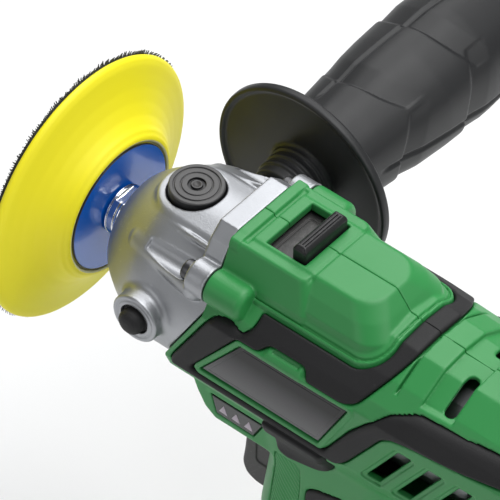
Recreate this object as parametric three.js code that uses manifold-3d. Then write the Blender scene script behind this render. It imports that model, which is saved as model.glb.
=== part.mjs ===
// Cordless rotary polisher with a 75 mm backing pad, a planetary gear head, an auxiliary side handle and a
// slide-on battery pack. Millimetres, +Z up. The part frame has its origin at the centre of the battery's
// bottom face, +X towards the pad and +Y towards the tool's left side.
import * as THREE from 'three';
import { mergeVertices } from 'three/addons/utils/BufferGeometryUtils.js';
import Module from 'manifold-3d';

const wasm = await Module();
wasm.setup();

// ---- Driving dimensions. Everything below is placed in the tool frame, whose origin is the point where
// ---- the spindle axis crosses the side-handle axis.
const AXIS_HEIGHT = 155; // spindle axis above the surface that the battery stands on
const FOOT_CENTRE_X = -57; // centre of the battery's footprint, along the spindle axis
const GAP = 0.3; // clearance between neighbouring solids
const WALL = 2.6; // clamshell wall
const RUBBER = 1.3; // overmould thickness

const PAD_RADIUS = 37.5;
const PAD_BACK_X = 28.9; // back plane of the foam
const PAD_RIM_X = 38.6; // plane of the widest rim
const HOOK_FACE_X = 40.6; // front of the hook face
const LABEL_RADIUS = 18;

const HEAD_RADIUS = 24;
const HEAD_FRONT_X = 21.3;
const PLATFORM_Z = 21.8;
const SEAM_TOP_X = -18.4; // joint between gear head and clamshell at the top
const SEAM_KNEE_Z = 11; // below this height the joint slants forward
const SEAM_LOW_X = -7;
const SEAM_LOW_Z = -10;
const SPIGOT_RADIUS = 20.9; // gear head's rear spigot, inside the clamshell

const SIDE_Y = 24; // flat sides of the body
const BARREL_TOP_Z = 25;
const BARREL_BOTTOM_Z = -24;
const BODY_REAR_X = -123;
const TURRET_TOP_Z = 30.9; // raised top behind the gear head
const FOOT_TOP_Z = -112;
const FOOT_BOTTOM_Z = -128;
const FOOT_HALF_LENGTH = 42;
const FOOT_HALF_WIDTH = 30;

const GEAR_MODULE = 0.7;
const SUN_TEETH = 12;
const PLANET_TEETH = 18;
const RING_TEETH = 48;
const PLANET_COUNT = 3;
const GEAR_BACK_X = -27;
const GEAR_FRONT_X = -18.6;

const BUTTON_X = 3.1; // spindle-lock button's axis
const BUTTON_RADIUS = 7.2;
const BUTTON_TOP_Z = 24.7;

const GRIP_TOP_Z = -16;
const CELL_RADIUS = 9;
const CELL_LENGTH = 65;
const CELL_SPACING = 18.5;

const ROUND = 24; // facets of a visible turned part
const FINE = 32; // facets of the pad and the guard disc
const SMALL = 10; // facets of a pin or a screw

// ---- Materials ----
function finish(colour, roughness, metalness) {
  return new THREE.MeshStandardMaterial({ color: colour, roughness, metalness });
}
const GREEN = finish(0x3d9c55, 0.45, 0);
const RUBBER_BLACK = finish(0x2c2c2f, 0.75, 0);
const BLACK_PLASTIC = finish(0x1f2022, 0.5, 0);
const ALLOY = finish(0xa9abad, 0.35, 0.9);
const STEEL = finish(0x8c8f93, 0.3, 1);
const CHROME = finish(0xd8dbe0, 0.08, 1);
const COPPER = finish(0xb87346, 0.35, 1);
const BRASS = finish(0xc9a24a, 0.35, 1);
const FOAM_YELLOW = finish(0xf5e52a, 0.8, 0);
const HUB_BLUE = finish(0x1450c8, 0.25, 0);
const HOOK_BLACK = finish(0x26272a, 0.95, 0);
const MAGNET = finish(0x3a3a3d, 0.6, 0.4);
const BOARD_GREEN = finish(0x1c5a34, 0.5, 0);
const CELL_SLEEVE = finish(0x2d6fb0, 0.4, 0);
const LABEL_SILVER = finish(0x55585c, 0.3, 0.2);
const LENS_DARK = finish(0x3b3f42, 0.2, 0);

// ---- Solids and booleans ----
function toSolid(geometry) {
  const bare = geometry.clone();
  bare.deleteAttribute('normal');
  bare.deleteAttribute('uv');
  const merged = mergeVertices(bare, 1e-4);
  return new wasm.Manifold(new wasm.Mesh({
    numProp: 3,
    vertProperties: new Float32Array(merged.attributes.position.array),
    triVerts: new Uint32Array(merged.index.array),
  }));
}

function toGeometry(solid) {
  const mesh = solid.getMesh();
  const geometry = new THREE.BufferGeometry();
  geometry.setAttribute('position', new THREE.BufferAttribute(new Float32Array(mesh.vertProperties), 3));
  geometry.setIndex(new THREE.BufferAttribute(new Uint32Array(mesh.triVerts), 1));
  geometry.computeVertexNormals();
  return geometry;
}

function join(solids) {
  return solids.reduce((total, solid) => total.add(solid));
}

function cut(solid, cutters) {
  return cutters.reduce((total, cutter) => total.subtract(cutter), solid);
}

// Closed skin through a list of rings that all have the same number of points, listed from the first end to
// the last; turned says that the rings run the other way round.
function loft(rings, turned = false) {
  const size = rings[0].length;
  const positions = rings.flatMap((ring) => ring.flatMap((point) => [point.x, point.y, point.z]));
  const index = [];
  for (let layer = 0; layer + 1 < rings.length; layer += 1) {
    for (let i = 0; i < size; i += 1) {
      const a = layer * size + i;
      const b = layer * size + ((i + 1) % size);
      index.push(a, b, a + size, b, b + size, a + size);
    }
  }
  const last = (rings.length - 1) * size;
  for (let i = 1; i + 1 < size; i += 1) {
    index.push(0, i + 1, i);
    index.push(last, last + i, last + i + 1);
  }
  const geometry = new THREE.BufferGeometry();
  geometry.setAttribute('position', new THREE.Float32BufferAttribute(positions, 3));
  geometry.setIndex(turned ? index.reverse() : index);
  return toSolid(geometry);
}

function block(x0, x1, y0, y1, z0, z1) {
  const geometry = new THREE.BoxGeometry(x1 - x0, y1 - y0, z1 - z0);
  geometry.translate((x0 + x1) / 2, (y0 + y1) / 2, (z0 + z1) / 2);
  return toSolid(geometry);
}

// Cylinder between two heights along an axis; centre is the [first, second] coordinate across it.
function rod(axis, radius, from, to, centre = [0, 0], facets = SMALL) {
  const geometry = new THREE.CylinderGeometry(radius, radius, to - from, facets);
  const middle = (from + to) / 2;
  if (axis === 'x') {
    geometry.rotateZ(-Math.PI / 2);
    geometry.translate(middle, centre[0], centre[1]);
  }
  if (axis === 'y') {
    geometry.translate(centre[0], middle, centre[1]);
  }
  if (axis === 'z') {
    geometry.rotateX(Math.PI / 2);
    geometry.translate(centre[0], centre[1], middle);
  }
  return toSolid(geometry);
}

// Solid of revolution about the X axis; the profile is a list of [x, radius] with rising x.
function turnedX(profile, facets = ROUND) {
  const points = profile.map(([x, radius]) => new THREE.Vector2(radius, x));
  const geometry = new THREE.LatheGeometry(points, facets);
  geometry.rotateZ(-Math.PI / 2);
  return toSolid(geometry);
}

function tube(axis, outer, inner, from, to, centre = [0, 0], facets = ROUND) {
  const bore = rod(axis, inner, from - 1, to + 1, centre, facets);
  return rod(axis, outer, from, to, centre, facets).subtract(bore);
}

// Prism with an outline in one plane: 'xz' outlines run along Y, 'yz' along X and 'xy' along Z.
function prism(plane, outline, from, to) {
  const shape = new THREE.Shape(outline.map(([a, b]) => new THREE.Vector2(a, b)));
  const geometry = new THREE.ExtrudeGeometry(shape, { depth: to - from, bevelEnabled: false });
  if (plane === 'xy') {
    geometry.translate(0, 0, from);
  }
  if (plane === 'xz') {
    geometry.rotateX(Math.PI / 2);
    geometry.translate(0, to, 0);
  }
  if (plane === 'yz') {
    geometry.rotateX(Math.PI / 2);
    geometry.rotateZ(Math.PI / 2);
    geometry.translate(from, 0, 0);
  }
  return toSolid(geometry);
}

// ---- Body outline, shared by the clamshell, its cavity and its rubber skin ----
function ringAlongX(x, half) {
  const left = half.map(([y, z]) => new THREE.Vector3(x, y, z));
  const right = half.slice(1, -1).reverse().map(([y, z]) => new THREE.Vector3(x, -y, z));
  return [...left, ...right];
}

function barrelRing(x, side, top, bottom, inset) {
  const s = side - inset;
  const t = top - inset;
  const b = bottom + inset;
  return ringAlongX(x, [
    [0, t],
    [0.34 * s, t - 0.8],
    [0.68 * s, t - 5.5],
    [0.9 * s, t - 10],
    [s, t - 14],
    [s, b + 13.5],
    [0.92 * s, b + 9],
    [0.68 * s, b + 3.8],
    [0.34 * s, b + 0.6],
    [0, b],
  ]);
}

function barrel(inset) {
  return loft([
    barrelRing(BODY_REAR_X + inset, 15, BARREL_TOP_Z - 9, BARREL_BOTTOM_Z + 9, inset),
    barrelRing(BODY_REAR_X + 3 + inset, 19.5, BARREL_TOP_Z - 4.5, BARREL_BOTTOM_Z + 4, inset),
    barrelRing(BODY_REAR_X + 9 + inset, 22, BARREL_TOP_Z - 2, BARREL_BOTTOM_Z + 1.6, inset),
    barrelRing(-78, SIDE_Y - 0.6, BARREL_TOP_Z - 0.6, BARREL_BOTTOM_Z, inset),
    barrelRing(-60, SIDE_Y, BARREL_TOP_Z, BARREL_BOTTOM_Z, inset),
    barrelRing(5, SIDE_Y, BARREL_TOP_Z, BARREL_BOTTOM_Z, inset),
  ], true);
}

// Rounded rectangle in a horizontal plane, as a ring of points.
function levelRing(z, x0, x1, halfWidth, corner, inset) {
  const steps = 3;
  const centres = [
    [x1 - corner, halfWidth - corner, 0],
    [x0 + corner, halfWidth - corner, 1],
    [x0 + corner, corner - halfWidth, 2],
    [x1 - corner, corner - halfWidth, 3],
  ];
  const radius = Math.max(corner - inset, 0.4);
  const pull = inset - (corner - radius);
  return centres.flatMap(([cx, cy, quarter]) => {
    const points = [];
    for (let i = 0; i <= steps; i += 1) {
      const angle = (quarter + i / steps) * (Math.PI / 2);
      const x = cx - Math.sign(cx - (x0 + x1) / 2) * pull + radius * Math.cos(angle);
      const y = cy - Math.sign(cy) * pull + radius * Math.sin(angle);
      points.push(new THREE.Vector3(x, y, z));
    }
    return points;
  });
}

function grip(inset) {
  return loft([
    levelRing(FOOT_TOP_Z - 3, -80, -34, 17, 11, inset),
    levelRing(-98, -77, -33, 16.3, 11, inset),
    levelRing(-74, -74.5, -29.5, 16.6, 11.5, inset),
    levelRing(-58, -72.5, -27.5, 16.4, 11.5, inset),
    levelRing(-38, -72, -30, 16.2, 11.5, inset),
    levelRing(GRIP_TOP_Z, -80, -26, 17, 11.5, inset),
  ]);
}

// Block under the front of the barrel that carries the gauge and shades the trigger.
function nose(inset) {
  const half = 15.5 - inset;
  const outline = [
    [-60, -12],
    [SEAM_LOW_X + 2, -12],
    [-8 - inset, -23],
    [-11 - inset, -29.5],
    [-15 - inset / 2, -33.6 + inset],
    [-20, -34.8 + inset],
    [-60, -34.8 + inset],
  ];
  return prism('xz', outline, -half, half);
}

function foot(inset) {
  const x0 = FOOT_CENTRE_X - FOOT_HALF_LENGTH;
  const x1 = FOOT_CENTRE_X + FOOT_HALF_LENGTH;
  return loft([
    levelRing(FOOT_BOTTOM_Z, x0, x1, FOOT_HALF_WIDTH, 9, inset),
    levelRing(FOOT_TOP_Z - 8, x0 + 0.5, x1 - 0.5, FOOT_HALF_WIDTH - 0.5, 9, inset),
    levelRing(FOOT_TOP_Z, x0 + 12, x1 - 9, FOOT_HALF_WIDTH - 9, 9, inset),
    levelRing(FOOT_TOP_Z + 8, x0 + 18, x1 - 18, FOOT_HALF_WIDTH - 13, 9, inset),
  ]);
}

// Raised top behind the gear head: a flat roof, chamfered flanks and a sloped, rounded tail.
function turretRing(z, halfWidth, rear, corner) {
  const steps = 5;
  const left = [new THREE.Vector3(5, halfWidth, z)];
  for (let i = 0; i <= steps; i += 1) {
    const angle = (i / steps) * (Math.PI / 2);
    const x = rear + corner * (1 - Math.sin(angle));
    const y = halfWidth - corner * (1 - Math.cos(angle));
    left.push(new THREE.Vector3(x, y, z));
  }
  const right = left.slice().reverse().map((point) => new THREE.Vector3(point.x, -point.y, z));
  return [...left, ...right];
}

function turret(inset) {
  const ring = (z, halfWidth, rear, corner) => turretRing(z, halfWidth - inset, rear + inset, corner);
  return loft([
    ring(8, 17.5, -68.2, 7),
    ring(17, 17.2, -68, 7),
    ring(23.4, 15.6, -67.4, 7),
    ring(27.2, 12.9, -63.5, 7.5),
    ring(TURRET_TOP_Z - inset, 9.8, -60.5, 7),
  ]);
}

// Wider stretch of the roof that frames the speed selector.
function selectorDeck(inset) {
  const ring = (z, half, front, rear) => {
    const left = [[front, half - 3], [front - 4, half], [rear + 3, half], [rear, half - 3]];
    const points = left.map(([x, y]) => [x, y - inset]);
    const right = points.slice().reverse().map(([x, y]) => [x, -y]);
    return [...points, ...right].map(([x, y]) => new THREE.Vector3(x, y, z));
  };
  return loft([
    ring(12, 17.2, -18.6, -46 + inset),
    ring(22, 16.4, -18.6, -45.5 + inset),
    ring(TURRET_TOP_Z + 0.2 - inset, 12.7, -18.6, -41.8 + inset),
  ]);
}

const BOSS = { y: 18.9, z: 18.2, radius: 4.8, rear: -29.5 }; // screw bosses on the body's shoulders

function shoulderBoss(side, grow) {
  const body = rod('x', BOSS.radius + grow, BOSS.rear, 5, [side * BOSS.y, BOSS.z]);
  const tip = new THREE.SphereGeometry(BOSS.radius + grow, SMALL, SMALL / 2);
  tip.rotateZ(-Math.PI / 2);
  tip.translate(BOSS.rear, side * BOSS.y, BOSS.z);
  return body.add(toSolid(tip));
}

function raisedTop(inset) {
  return turret(inset).add(selectorDeck(inset));
}

function lowerBody(inset) {
  return join([barrel(inset), grip(inset), nose(inset), foot(inset)]);
}

// Everything behind the joint between gear head and clamshell, moved forward by shift.
function behindSeam(shift) {
  const outline = [
    [SEAM_TOP_X + shift, 60],
    [-300, 60],
    [-300, -200],
    [SEAM_LOW_X + shift, -200],
    [SEAM_LOW_X + shift, SEAM_LOW_Z],
    [SEAM_TOP_X + shift, SEAM_KNEE_Z],
  ];
  return prism('xz', outline, -100, 100);
}

// ---- Outlines on the side of the body, as [x, z] ----
const RUBBER_OUTLINE = [
  [-9.4, -12.2],
  [-9.2, -9.4],
  [-20.2, 10.2],
  [-21.6, 12.4],
  [-31.4, 12.4],
  [-33, 40],
  [-74.3, 40],
  [-74.3, 23.5],
  [-72.3, 20.2],
  [-66.6, 12.3],
  [-64, 11.2],
  [-29.4, 11.2],
  [-15.6, -9],
  [-58.4, -9],
  [-65.6, 2.6],
  [-72.4, 14],
  [-77, 18.2],
  [-82.2, 20],
  [-112.5, 19],
  [-112.5, 9.8],
  [-83, 9.6],
  [-78, 8.4],
  [-75, 6],
  [-65, -9],
  [-61.5, -12.2],
];
const LABEL_OUTLINE = [
  [-31.3, 9.6],
  [-66, 9.8],
  [-56.4, -7.5],
  [-18.2, -7.3],
];
const LENS_OUTLINE = [
  [-15.6, -26],
  [-32.4, -26],
  [-29.4, -31.9],
  [-17.4, -31.7],
];

// The outline moved outwards by a distance, with mitred corners.
function grown(outline, distance) {
  const area = outline.reduce((sum, [ax, ay], i) => {
    const [bx, by] = outline[(i + 1) % outline.length];
    return sum + ax * by - bx * ay;
  }, 0);
  const sign = Math.sign(area);
  return outline.map((point, i) => {
    const before = outline[(i + outline.length - 1) % outline.length];
    const after = outline[(i + 1) % outline.length];
    const first = new THREE.Vector2(point[0] - before[0], point[1] - before[1]).normalize();
    const second = new THREE.Vector2(after[0] - point[0], after[1] - point[1]).normalize();
    const normal = new THREE.Vector2(first.y + second.y, -first.x - second.x).normalize();
    const spread = Math.max(normal.dot(new THREE.Vector2(first.y, -first.x)), 0.5);
    const step = (sign * distance) / spread;
    return [point[0] + step * normal.x, point[1] + step * normal.y];
  });
}

// Prism of a side outline on the tool's left (side 1) or right (side -1),
// between two distances from the middle.
function sidePrism(outline, side, from, to) {
  return prism('xz', outline, side > 0 ? from : -to, side > 0 ? to : -from);
}

// ---- Clamshell ----
const OUTSIDE = 60; // beyond every face of the body, sideways and upwards
const OPENING = { x0: -38.6, x1: -26.4, half: 8.8 }; // speed selector's window in the roof
const TRIGGER_SLOT = { x0: -42, x1: -15, half: 8.6, z0: -61, z1: -34.2 };
const RAIL = { neck: 16.6, head: 19.6, split: -124.7, top: -119.6, rear: -94, front: -16 };
const BAY_TOP_Z = FOOT_TOP_Z - 1.6; // ceiling of the electronics bay in the foot
const SCREWS = [
  { x: -111, z: 6, outer: 21.6 },
  { x: -111, z: -10, outer: 21.4 },
  { x: -57, z: -29, outer: 16 },
  { x: -59, z: -97, outer: 16.3 },
];
const SCREW_SEAT = 3.6; // depth of a screw's counterbore
const LOUVRES = 4;

function selectorWindow() {
  return block(OPENING.x0, OPENING.x1, -OPENING.half, OPENING.half, 20, OUTSIDE);
}

function triggerSlot() {
  const slot = TRIGGER_SLOT;
  return block(slot.x0, slot.x1, -slot.half, slot.half, slot.z0, slot.z1);
}

function railChannel() {
  const x0 = RAIL.rear - GAP;
  const neck = block(x0, OUTSIDE, -RAIL.neck - GAP, RAIL.neck + GAP, FOOT_BOTTOM_Z - 1, RAIL.split + 0.5);
  const head = block(x0, OUTSIDE, -RAIL.head - GAP, RAIL.head + GAP, RAIL.split - GAP, RAIL.top + GAP);
  return neck.add(head);
}

function electronicsBay() {
  const bay = block(-84, -30, -19, 19, RAIL.top, BAY_TOP_Z);
  const wireHole = block(-64, -46, -8, 8, BAY_TOP_Z - 1, FOOT_TOP_Z + 10);
  return bay.add(wireHole);
}

function louvres(side) {
  const slots = [];
  for (let i = 0; i < LOUVRES; i += 1) {
    const x = -71 - 9.2 * i;
    slots.push(sidePrism([[x, -9.5], [x - 8, 2.4], [x - 12, 2.4], [x - 4, -9.5]], side, 17, OUTSIDE));
  }
  return join(slots);
}

function rearVent() {
  const channel = block(-91.2, -81.8, -14, 14, BARREL_TOP_Z - 3.6, OUTSIDE);
  const bottom = BARREL_TOP_Z - 13;
  const slots = [9.8, -9.8].map((y) => block(-90.5, -87, y - 5.6, y + 5.6, bottom, OUTSIDE));
  return join([channel, ...slots]);
}

function rubberPocket(side) {
  const region = sidePrism(grown(RUBBER_OUTLINE, GAP), side, -1, OUTSIDE);
  return cut(region, [lowerBody(RUBBER + GAP), raisedTop(0), shoulderBoss(side, 0)]);
}

function screwBosses() {
  return SCREWS.map(({ x, z, outer }) => rod('y', 4, 0.8 - outer, outer - 0.8, [x, z]));
}

function screwBores() {
  return SCREWS.flatMap(({ x, z, outer }) => [
    rod('y', 1.8, -outer - 1, 10.3, [x, z]),
    rod('y', 3.4, -OUTSIDE, SCREW_SEAT - outer, [x, z]),
  ]);
}

function headScrewBores() {
  return [1, -1].map((side) => rod('x', 1.8, -27.3, 30, [side * BOSS.y, BOSS.z]));
}

function clamshell() {
  const outer = join([lowerBody(0), raisedTop(0), shoulderBoss(1, 0), shoulderBoss(-1, 0)]);
  const gripCavity = grip(WALL).intersect(block(-200, 100, -OUTSIDE, OUTSIDE, FOOT_TOP_Z + 1, OUTSIDE));
  const cavity = join([barrel(WALL), gripCavity, nose(WALL), raisedTop(WALL)]);
  const shell = outer.intersect(behindSeam(-GAP / 2)).subtract(cavity);
  return cut(join([shell, ...screwBosses()]), [
    selectorWindow(),
    triggerSlot(),
    railChannel(),
    electronicsBay(),
    rearVent(),
    ...screwBores(),
    ...headScrewBores(),
  ]);
}

function clamshellHalf(shell, side) {
  const keep = block(-300, 100, side > 0 ? GAP / 2 : -100, side > 0 ? 100 : -GAP / 2, -200, 100);
  const cutters = [
    rubberPocket(side),
    sidePrism(grown(LABEL_OUTLINE, GAP), side, SIDE_Y - 0.9, OUTSIDE),
    louvres(side),
  ];
  if (side > 0) {
    cutters.push(sidePrism(grown(LENS_OUTLINE, GAP), side, 15.5 - 1.6, OUTSIDE));
  }
  return cut(shell, cutters).intersect(keep);
}

function overmould(side) {
  const skin = lowerBody(0).subtract(lowerBody(RUBBER));
  const covered = skin.intersect(sidePrism(RUBBER_OUTLINE, side, GAP / 2, OUTSIDE));
  return cut(covered, [raisedTop(-GAP), shoulderBoss(side, GAP), ...screwBores()]);
}

function ratingLabel(side) {
  return sidePrism(LABEL_OUTLINE, side, SIDE_Y - 0.6, SIDE_Y);
}

function gaugeLens() {
  return sidePrism(LENS_OUTLINE, 1, 15.5 - 1.3, 15.6);
}

function housingScrew({ outer }) {
  const head = rod('y', 3, 0.9 - outer, SCREW_SEAT - GAP - outer);
  return head.add(rod('y', 1.5, SCREW_SEAT - 1 - outer, 10));
}

// ---- Gear head ----
const FLANGE_FRONT_X = -12.2;
const HANDLE_FACE_Y = 27.5;
const STUD_BORE = { radius: 4.3, depth: 16 };
const BEARING = { outer: 12.8, inner: 5.3 };
const GEAR_ROOM_RADIUS = 19.3;
const WELL_FLOOR_Z = 14.8;

function gearHeadOutside() {
  const body = turnedX([
    [-60, 0],
    [-60, HEAD_RADIUS],
    [2, HEAD_RADIUS],
    [6, 23.3],
    [10, 21.5],
    [14, 19.2],
    [18, 16.4],
    [20.4, 13.8],
    [HEAD_FRONT_X, 11.8],
    [HEAD_FRONT_X, 0],
  ]);
  const flange = prism('yz', [
    [-15.8, 8],
    [15.8, 8],
    [15.6, 23.2],
    [13.3, 26.8],
    [9.6, 30.3],
    [-9.6, 30.3],
    [-13.3, 26.8],
    [-15.6, 23.2],
  ], -30, FLANGE_FRONT_X);
  const bosses = [1, -1].map((side) => rod('x', BOSS.radius, -30, FLANGE_FRONT_X, [side * BOSS.y, BOSS.z]));
  return join([
    body,
    flange,
    ...bosses,
    block(-20, BUTTON_X, -10, 10, 0, PLATFORM_Z),
    rod('z', 9.9, 0, PLATFORM_Z, [BUTTON_X, 0], ROUND),
    rod('y', 7, -HANDLE_FACE_Y, HANDLE_FACE_Y, [0, 0], ROUND),
  ]);
}

function gearCase() {
  const front = gearHeadOutside().subtract(behindSeam(GAP / 2 + 0.05));
  const spigot = rod('x', SPIGOT_RADIUS, -30.5, 0, [0, 0], ROUND);
  const screwPockets = [1, -1].map((side) => rod('x', 3.4, FLANGE_FRONT_X, 0, [side * BOSS.y, BOSS.z]));
  return cut(front.add(spigot), [
    rod('x', BEARING.outer + GAP, -20, 17.7, [0, 0], ROUND),
    rod('x', 9.3, 0, 30, [0, 0], ROUND),
    rod('x', GEAR_ROOM_RADIUS, -40, -9.6, [0, 0], ROUND),
    rod('z', BUTTON_RADIUS + 0.4, WELL_FLOOR_Z, OUTSIDE, [BUTTON_X, 0], ROUND),
    rod('z', 2.7, 0, WELL_FLOOR_Z + 1, [BUTTON_X, 0]),
    rod('y', STUD_BORE.radius, STUD_BORE.depth, OUTSIDE),
    rod('y', STUD_BORE.radius, -OUTSIDE, -STUD_BORE.depth),
    ...screwPockets,
    ...headScrewBores(),
  ]);
}

function headScrew() {
  const head = rod('x', 2.8, FLANGE_FRONT_X + GAP, FLANGE_FRONT_X + 2.8);
  return head.add(rod('x', 1.5, -27, FLANGE_FRONT_X + 1));
}

function handleHolePlug() {
  const stem = rod('y', 4, STUD_BORE.depth + 4, HANDLE_FACE_Y + 1.8, [0, 0], SMALL);
  const dome = new THREE.SphereGeometry(4, SMALL, SMALL / 2);
  dome.scale(1, 0.35, 1);
  dome.translate(0, HANDLE_FACE_Y + 1.8, 0);
  return stem.add(toSolid(dome));
}

function spindleSeal() {
  const sleeve = tube('x', 9, BEARING.inner, 18, 21.6);
  const lip = tube('x', 9.4, BEARING.inner, HEAD_FRONT_X + GAP, 23.2);
  return sleeve.add(lip);
}

// ---- Spindle and backing pad ----
const COLLAR = { x0: -0.4, x1: 6.8, radius: 9.5 };

function spindle() {
  const body = turnedX([
    [-18, 0],
    [-18, 5],
    [COLLAR.x0, 5],
    [COLLAR.x0, COLLAR.radius],
    [COLLAR.x1, COLLAR.radius],
    [COLLAR.x1, 5],
    [23.6, 5],
    [23.6, 7],
    [27.7, 7],
    [27.7, 4],
    [33.5, 4],
    [33.5, 0],
  ]);
  const lockHoles = [
    rod('z', 2.8, 6, 12, [BUTTON_X, 0]),
    rod('z', 2.8, -12, -6, [BUTTON_X, 0]),
    rod('y', 2.8, 6, 12, [BUTTON_X, 0]),
    rod('y', 2.8, -12, -6, [BUTTON_X, 0]),
  ];
  const flats = [block(23, 26.4, -9, 9, 6.1, 9), block(23, 26.4, -9, 9, -9, -6.1)];
  return cut(body, [...lockHoles, ...flats]);
}

function padHubDisc() {
  return tube('x', LABEL_RADIUS, 4.4, 28, PAD_BACK_X - GAP);
}

function backingPad() {
  return turnedX([
    [34, 0],
    [34, 4.4],
    [PAD_BACK_X, 4.4],
    [PAD_BACK_X, LABEL_RADIUS + 0.3],
    [28.2, LABEL_RADIUS + 0.5],
    [28.2, 19.8],
    [29, 21],
    [30.4, 21.9],
    [32.2, 23.8],
    [34, 26.7],
    [35.6, 30.2],
    [37, 33.8],
    [38, 36.5],
    [PAD_RIM_X, PAD_RADIUS],
    [39.7, PAD_RADIUS - 0.2],
    [39.7, 0],
  ], FINE);
}

function hookFace() {
  return turnedX([[40, 0], [40, PAD_RADIUS - 0.4], [HOOK_FACE_X, PAD_RADIUS - 0.4], [HOOK_FACE_X, 0]], FINE);
}

// ---- Planetary gears ----
function involute(angle) {
  return Math.tan(angle) - angle;
}

// Outline of a spur gear whose flanks join the involute's root and tip; backlash thins each tooth, or
// thickens it when negative.
function gearOutline(teeth, addendum, dedendum, backlash) {
  const pressure = THREE.MathUtils.degToRad(20);
  const pitch = (GEAR_MODULE * teeth) / 2;
  const base = pitch * Math.cos(pressure);
  const radii = [pitch - dedendum * GEAR_MODULE, pitch + addendum * GEAR_MODULE];
  const halfAtPitch = Math.PI / (2 * teeth) - backlash / (2 * pitch);
  const halfAngle = (radius) => {
    const here = radius > base ? Math.acos(base / radius) : 0;
    return halfAtPitch + involute(pressure) - involute(here);
  };
  const outline = [];
  for (let tooth = 0; tooth < teeth; tooth += 1) {
    const middle = (tooth * 2 * Math.PI) / teeth;
    const rising = radii.map((radius) => [radius, middle - halfAngle(radius)]);
    const falling = radii.slice().reverse().map((radius) => [radius, middle + halfAngle(radius)]);
    outline.push(...rising, ...falling);
  }
  return outline.map(([radius, angle]) => [radius * Math.cos(angle), radius * Math.sin(angle)]);
}

const ORBIT_RADIUS = (GEAR_MODULE * (SUN_TEETH + PLANET_TEETH)) / 2;
const BACKLASH = 0.16;

function sunGear() {
  const teeth = prism('yz', gearOutline(SUN_TEETH, 0.9, 1.15, BACKLASH), GEAR_BACK_X - 0.6, GEAR_FRONT_X);
  return teeth.rotate([180 / SUN_TEETH, 0, 0]).subtract(rod('x', 1.9, -40, 0, [0, 0], 12));
}

function planetGear() {
  const teeth = prism('yz', gearOutline(PLANET_TEETH, 0.9, 1.15, BACKLASH), GEAR_BACK_X, GEAR_FRONT_X);
  return teeth.subtract(rod('x', 2, -40, 0, [0, 0], 12));
}

function ringGear() {
  const bore = prism('yz', gearOutline(RING_TEETH, 1.15, 0.85, -BACKLASH), -40, 0);
  return rod('x', 18.9, GEAR_BACK_X - 1.6, GEAR_FRONT_X + 0.6, [0, 0], ROUND).subtract(bore);
}

function planetCarrier() {
  const plate = tube('x', 14, 5.3, GEAR_FRONT_X + 1.3, -10);
  const pins = [];
  for (let i = 0; i < PLANET_COUNT; i += 1) {
    const angle = (i * 2 * Math.PI) / PLANET_COUNT;
    const centre = [ORBIT_RADIUS * Math.cos(angle), ORBIT_RADIUS * Math.sin(angle)];
    pins.push(rod('x', 1.7, GEAR_BACK_X + 0.2, -12, centre, 12));
  }
  return join([plate, ...pins]);
}

// ---- Motor ----
const CAN = { x0: -98, x1: -43.5, radius: 18.2, wall: 1.4 };
const SHAFT_RADIUS = 1.6;

function motorShaft() {
  return rod('x', SHAFT_RADIUS, -105.5, GEAR_FRONT_X - 0.4, [0, 0], 12);
}

function motorCan() {
  const can = rod('x', CAN.radius, CAN.x0, CAN.x1, [0, 0], ROUND);
  const room = rod('x', CAN.radius - CAN.wall, CAN.x0 - 1, CAN.x1 - CAN.wall, [0, 0], ROUND);
  return cut(can, [room, rod('x', 5.5, -60, 0)]);
}

function motorMagnet(side) {
  const ring = tube('x', CAN.radius - CAN.wall - GAP, 13.2, -90, -50);
  const z0 = side > 0 ? 3 : -30;
  return ring.intersect(block(-100, 0, -30, 30, z0, z0 + 27));
}

function armatureCore() {
  const stack = rod('x', 12.6, -86, -54, [0, 0], ROUND);
  const slots = [];
  for (let i = 0; i < 5; i += 1) {
    const slot = block(-100, 0, -1.3, 1.3, 6, 20);
    slots.push(slot.rotate([(360 / 5) * i, 0, 0]));
  }
  return cut(stack, [...slots, rod('x', SHAFT_RADIUS + GAP, -100, 0, [0, 0], 12)]);
}

function commutator() {
  return tube('x', 5, SHAFT_RADIUS + GAP, -97, -88, [0, 0], SMALL);
}

function coolingFan() {
  const hub = tube('x', 5, SHAFT_RADIUS + GAP, -41.5, -35, [0, 0], SMALL);
  const disc = tube('x', 15.5, 4.8, -36.2, -35, [0, 0], ROUND);
  const blades = [];
  const count = 9;
  for (let i = 0; i < count; i += 1) {
    const blade = block(-41.5, -35.6, -0.6, 0.6, 4.6, 15.2);
    blades.push(blade.rotate([(360 / count) * i, 0, 0]));
  }
  return join([hub, disc, ...blades]);
}

function motorEndCap() {
  const cap = rod('x', CAN.radius, -104, CAN.x0 - GAP, [0, 0], ROUND);
  return cut(cap, [rod('x', 3.4, -110, 0, [0, 0], SMALL), ...[8, -8].map((y) => brushSlot(y))]);
}

function brushSlot(y) {
  return block(-102, -90, y - 3.2, y + 3.2, -2.6, 2.6);
}

function carbonBrush(side) {
  const y0 = side > 0 ? 5.2 : -10.9;
  return block(-101, -93, y0, y0 + 5.7, -2.2, 2.2);
}

function bush(x0, x1, outer) {
  return tube('x', outer, SHAFT_RADIUS + 0.1, x0, x1, [0, 0], SMALL);
}

// ---- Controls ----
// Each spring fills its seat at rest and still has room for its closed turns at the end of the travel.
const CAP_BOTTOM_Z = 19.9;
const LOCK_PIN = { radius: 2.4, tip: 10.3 };
const LOCK_SPRING = {
  wire: 0.3,
  radius: 4.6,
  height: CAP_BOTTOM_Z - WELL_FLOOR_Z - 2 * GAP,
  turns: 3,
};
const TRIGGER_REAR_X = -41;
const SWITCH_FRONT_X = -52;
const TRIGGER_SPRING = {
  wire: 0.35,
  radius: 3.4,
  height: TRIGGER_REAR_X - SWITCH_FRONT_X - 2 * GAP,
  turns: 4,
  z: -45,
};

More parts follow.
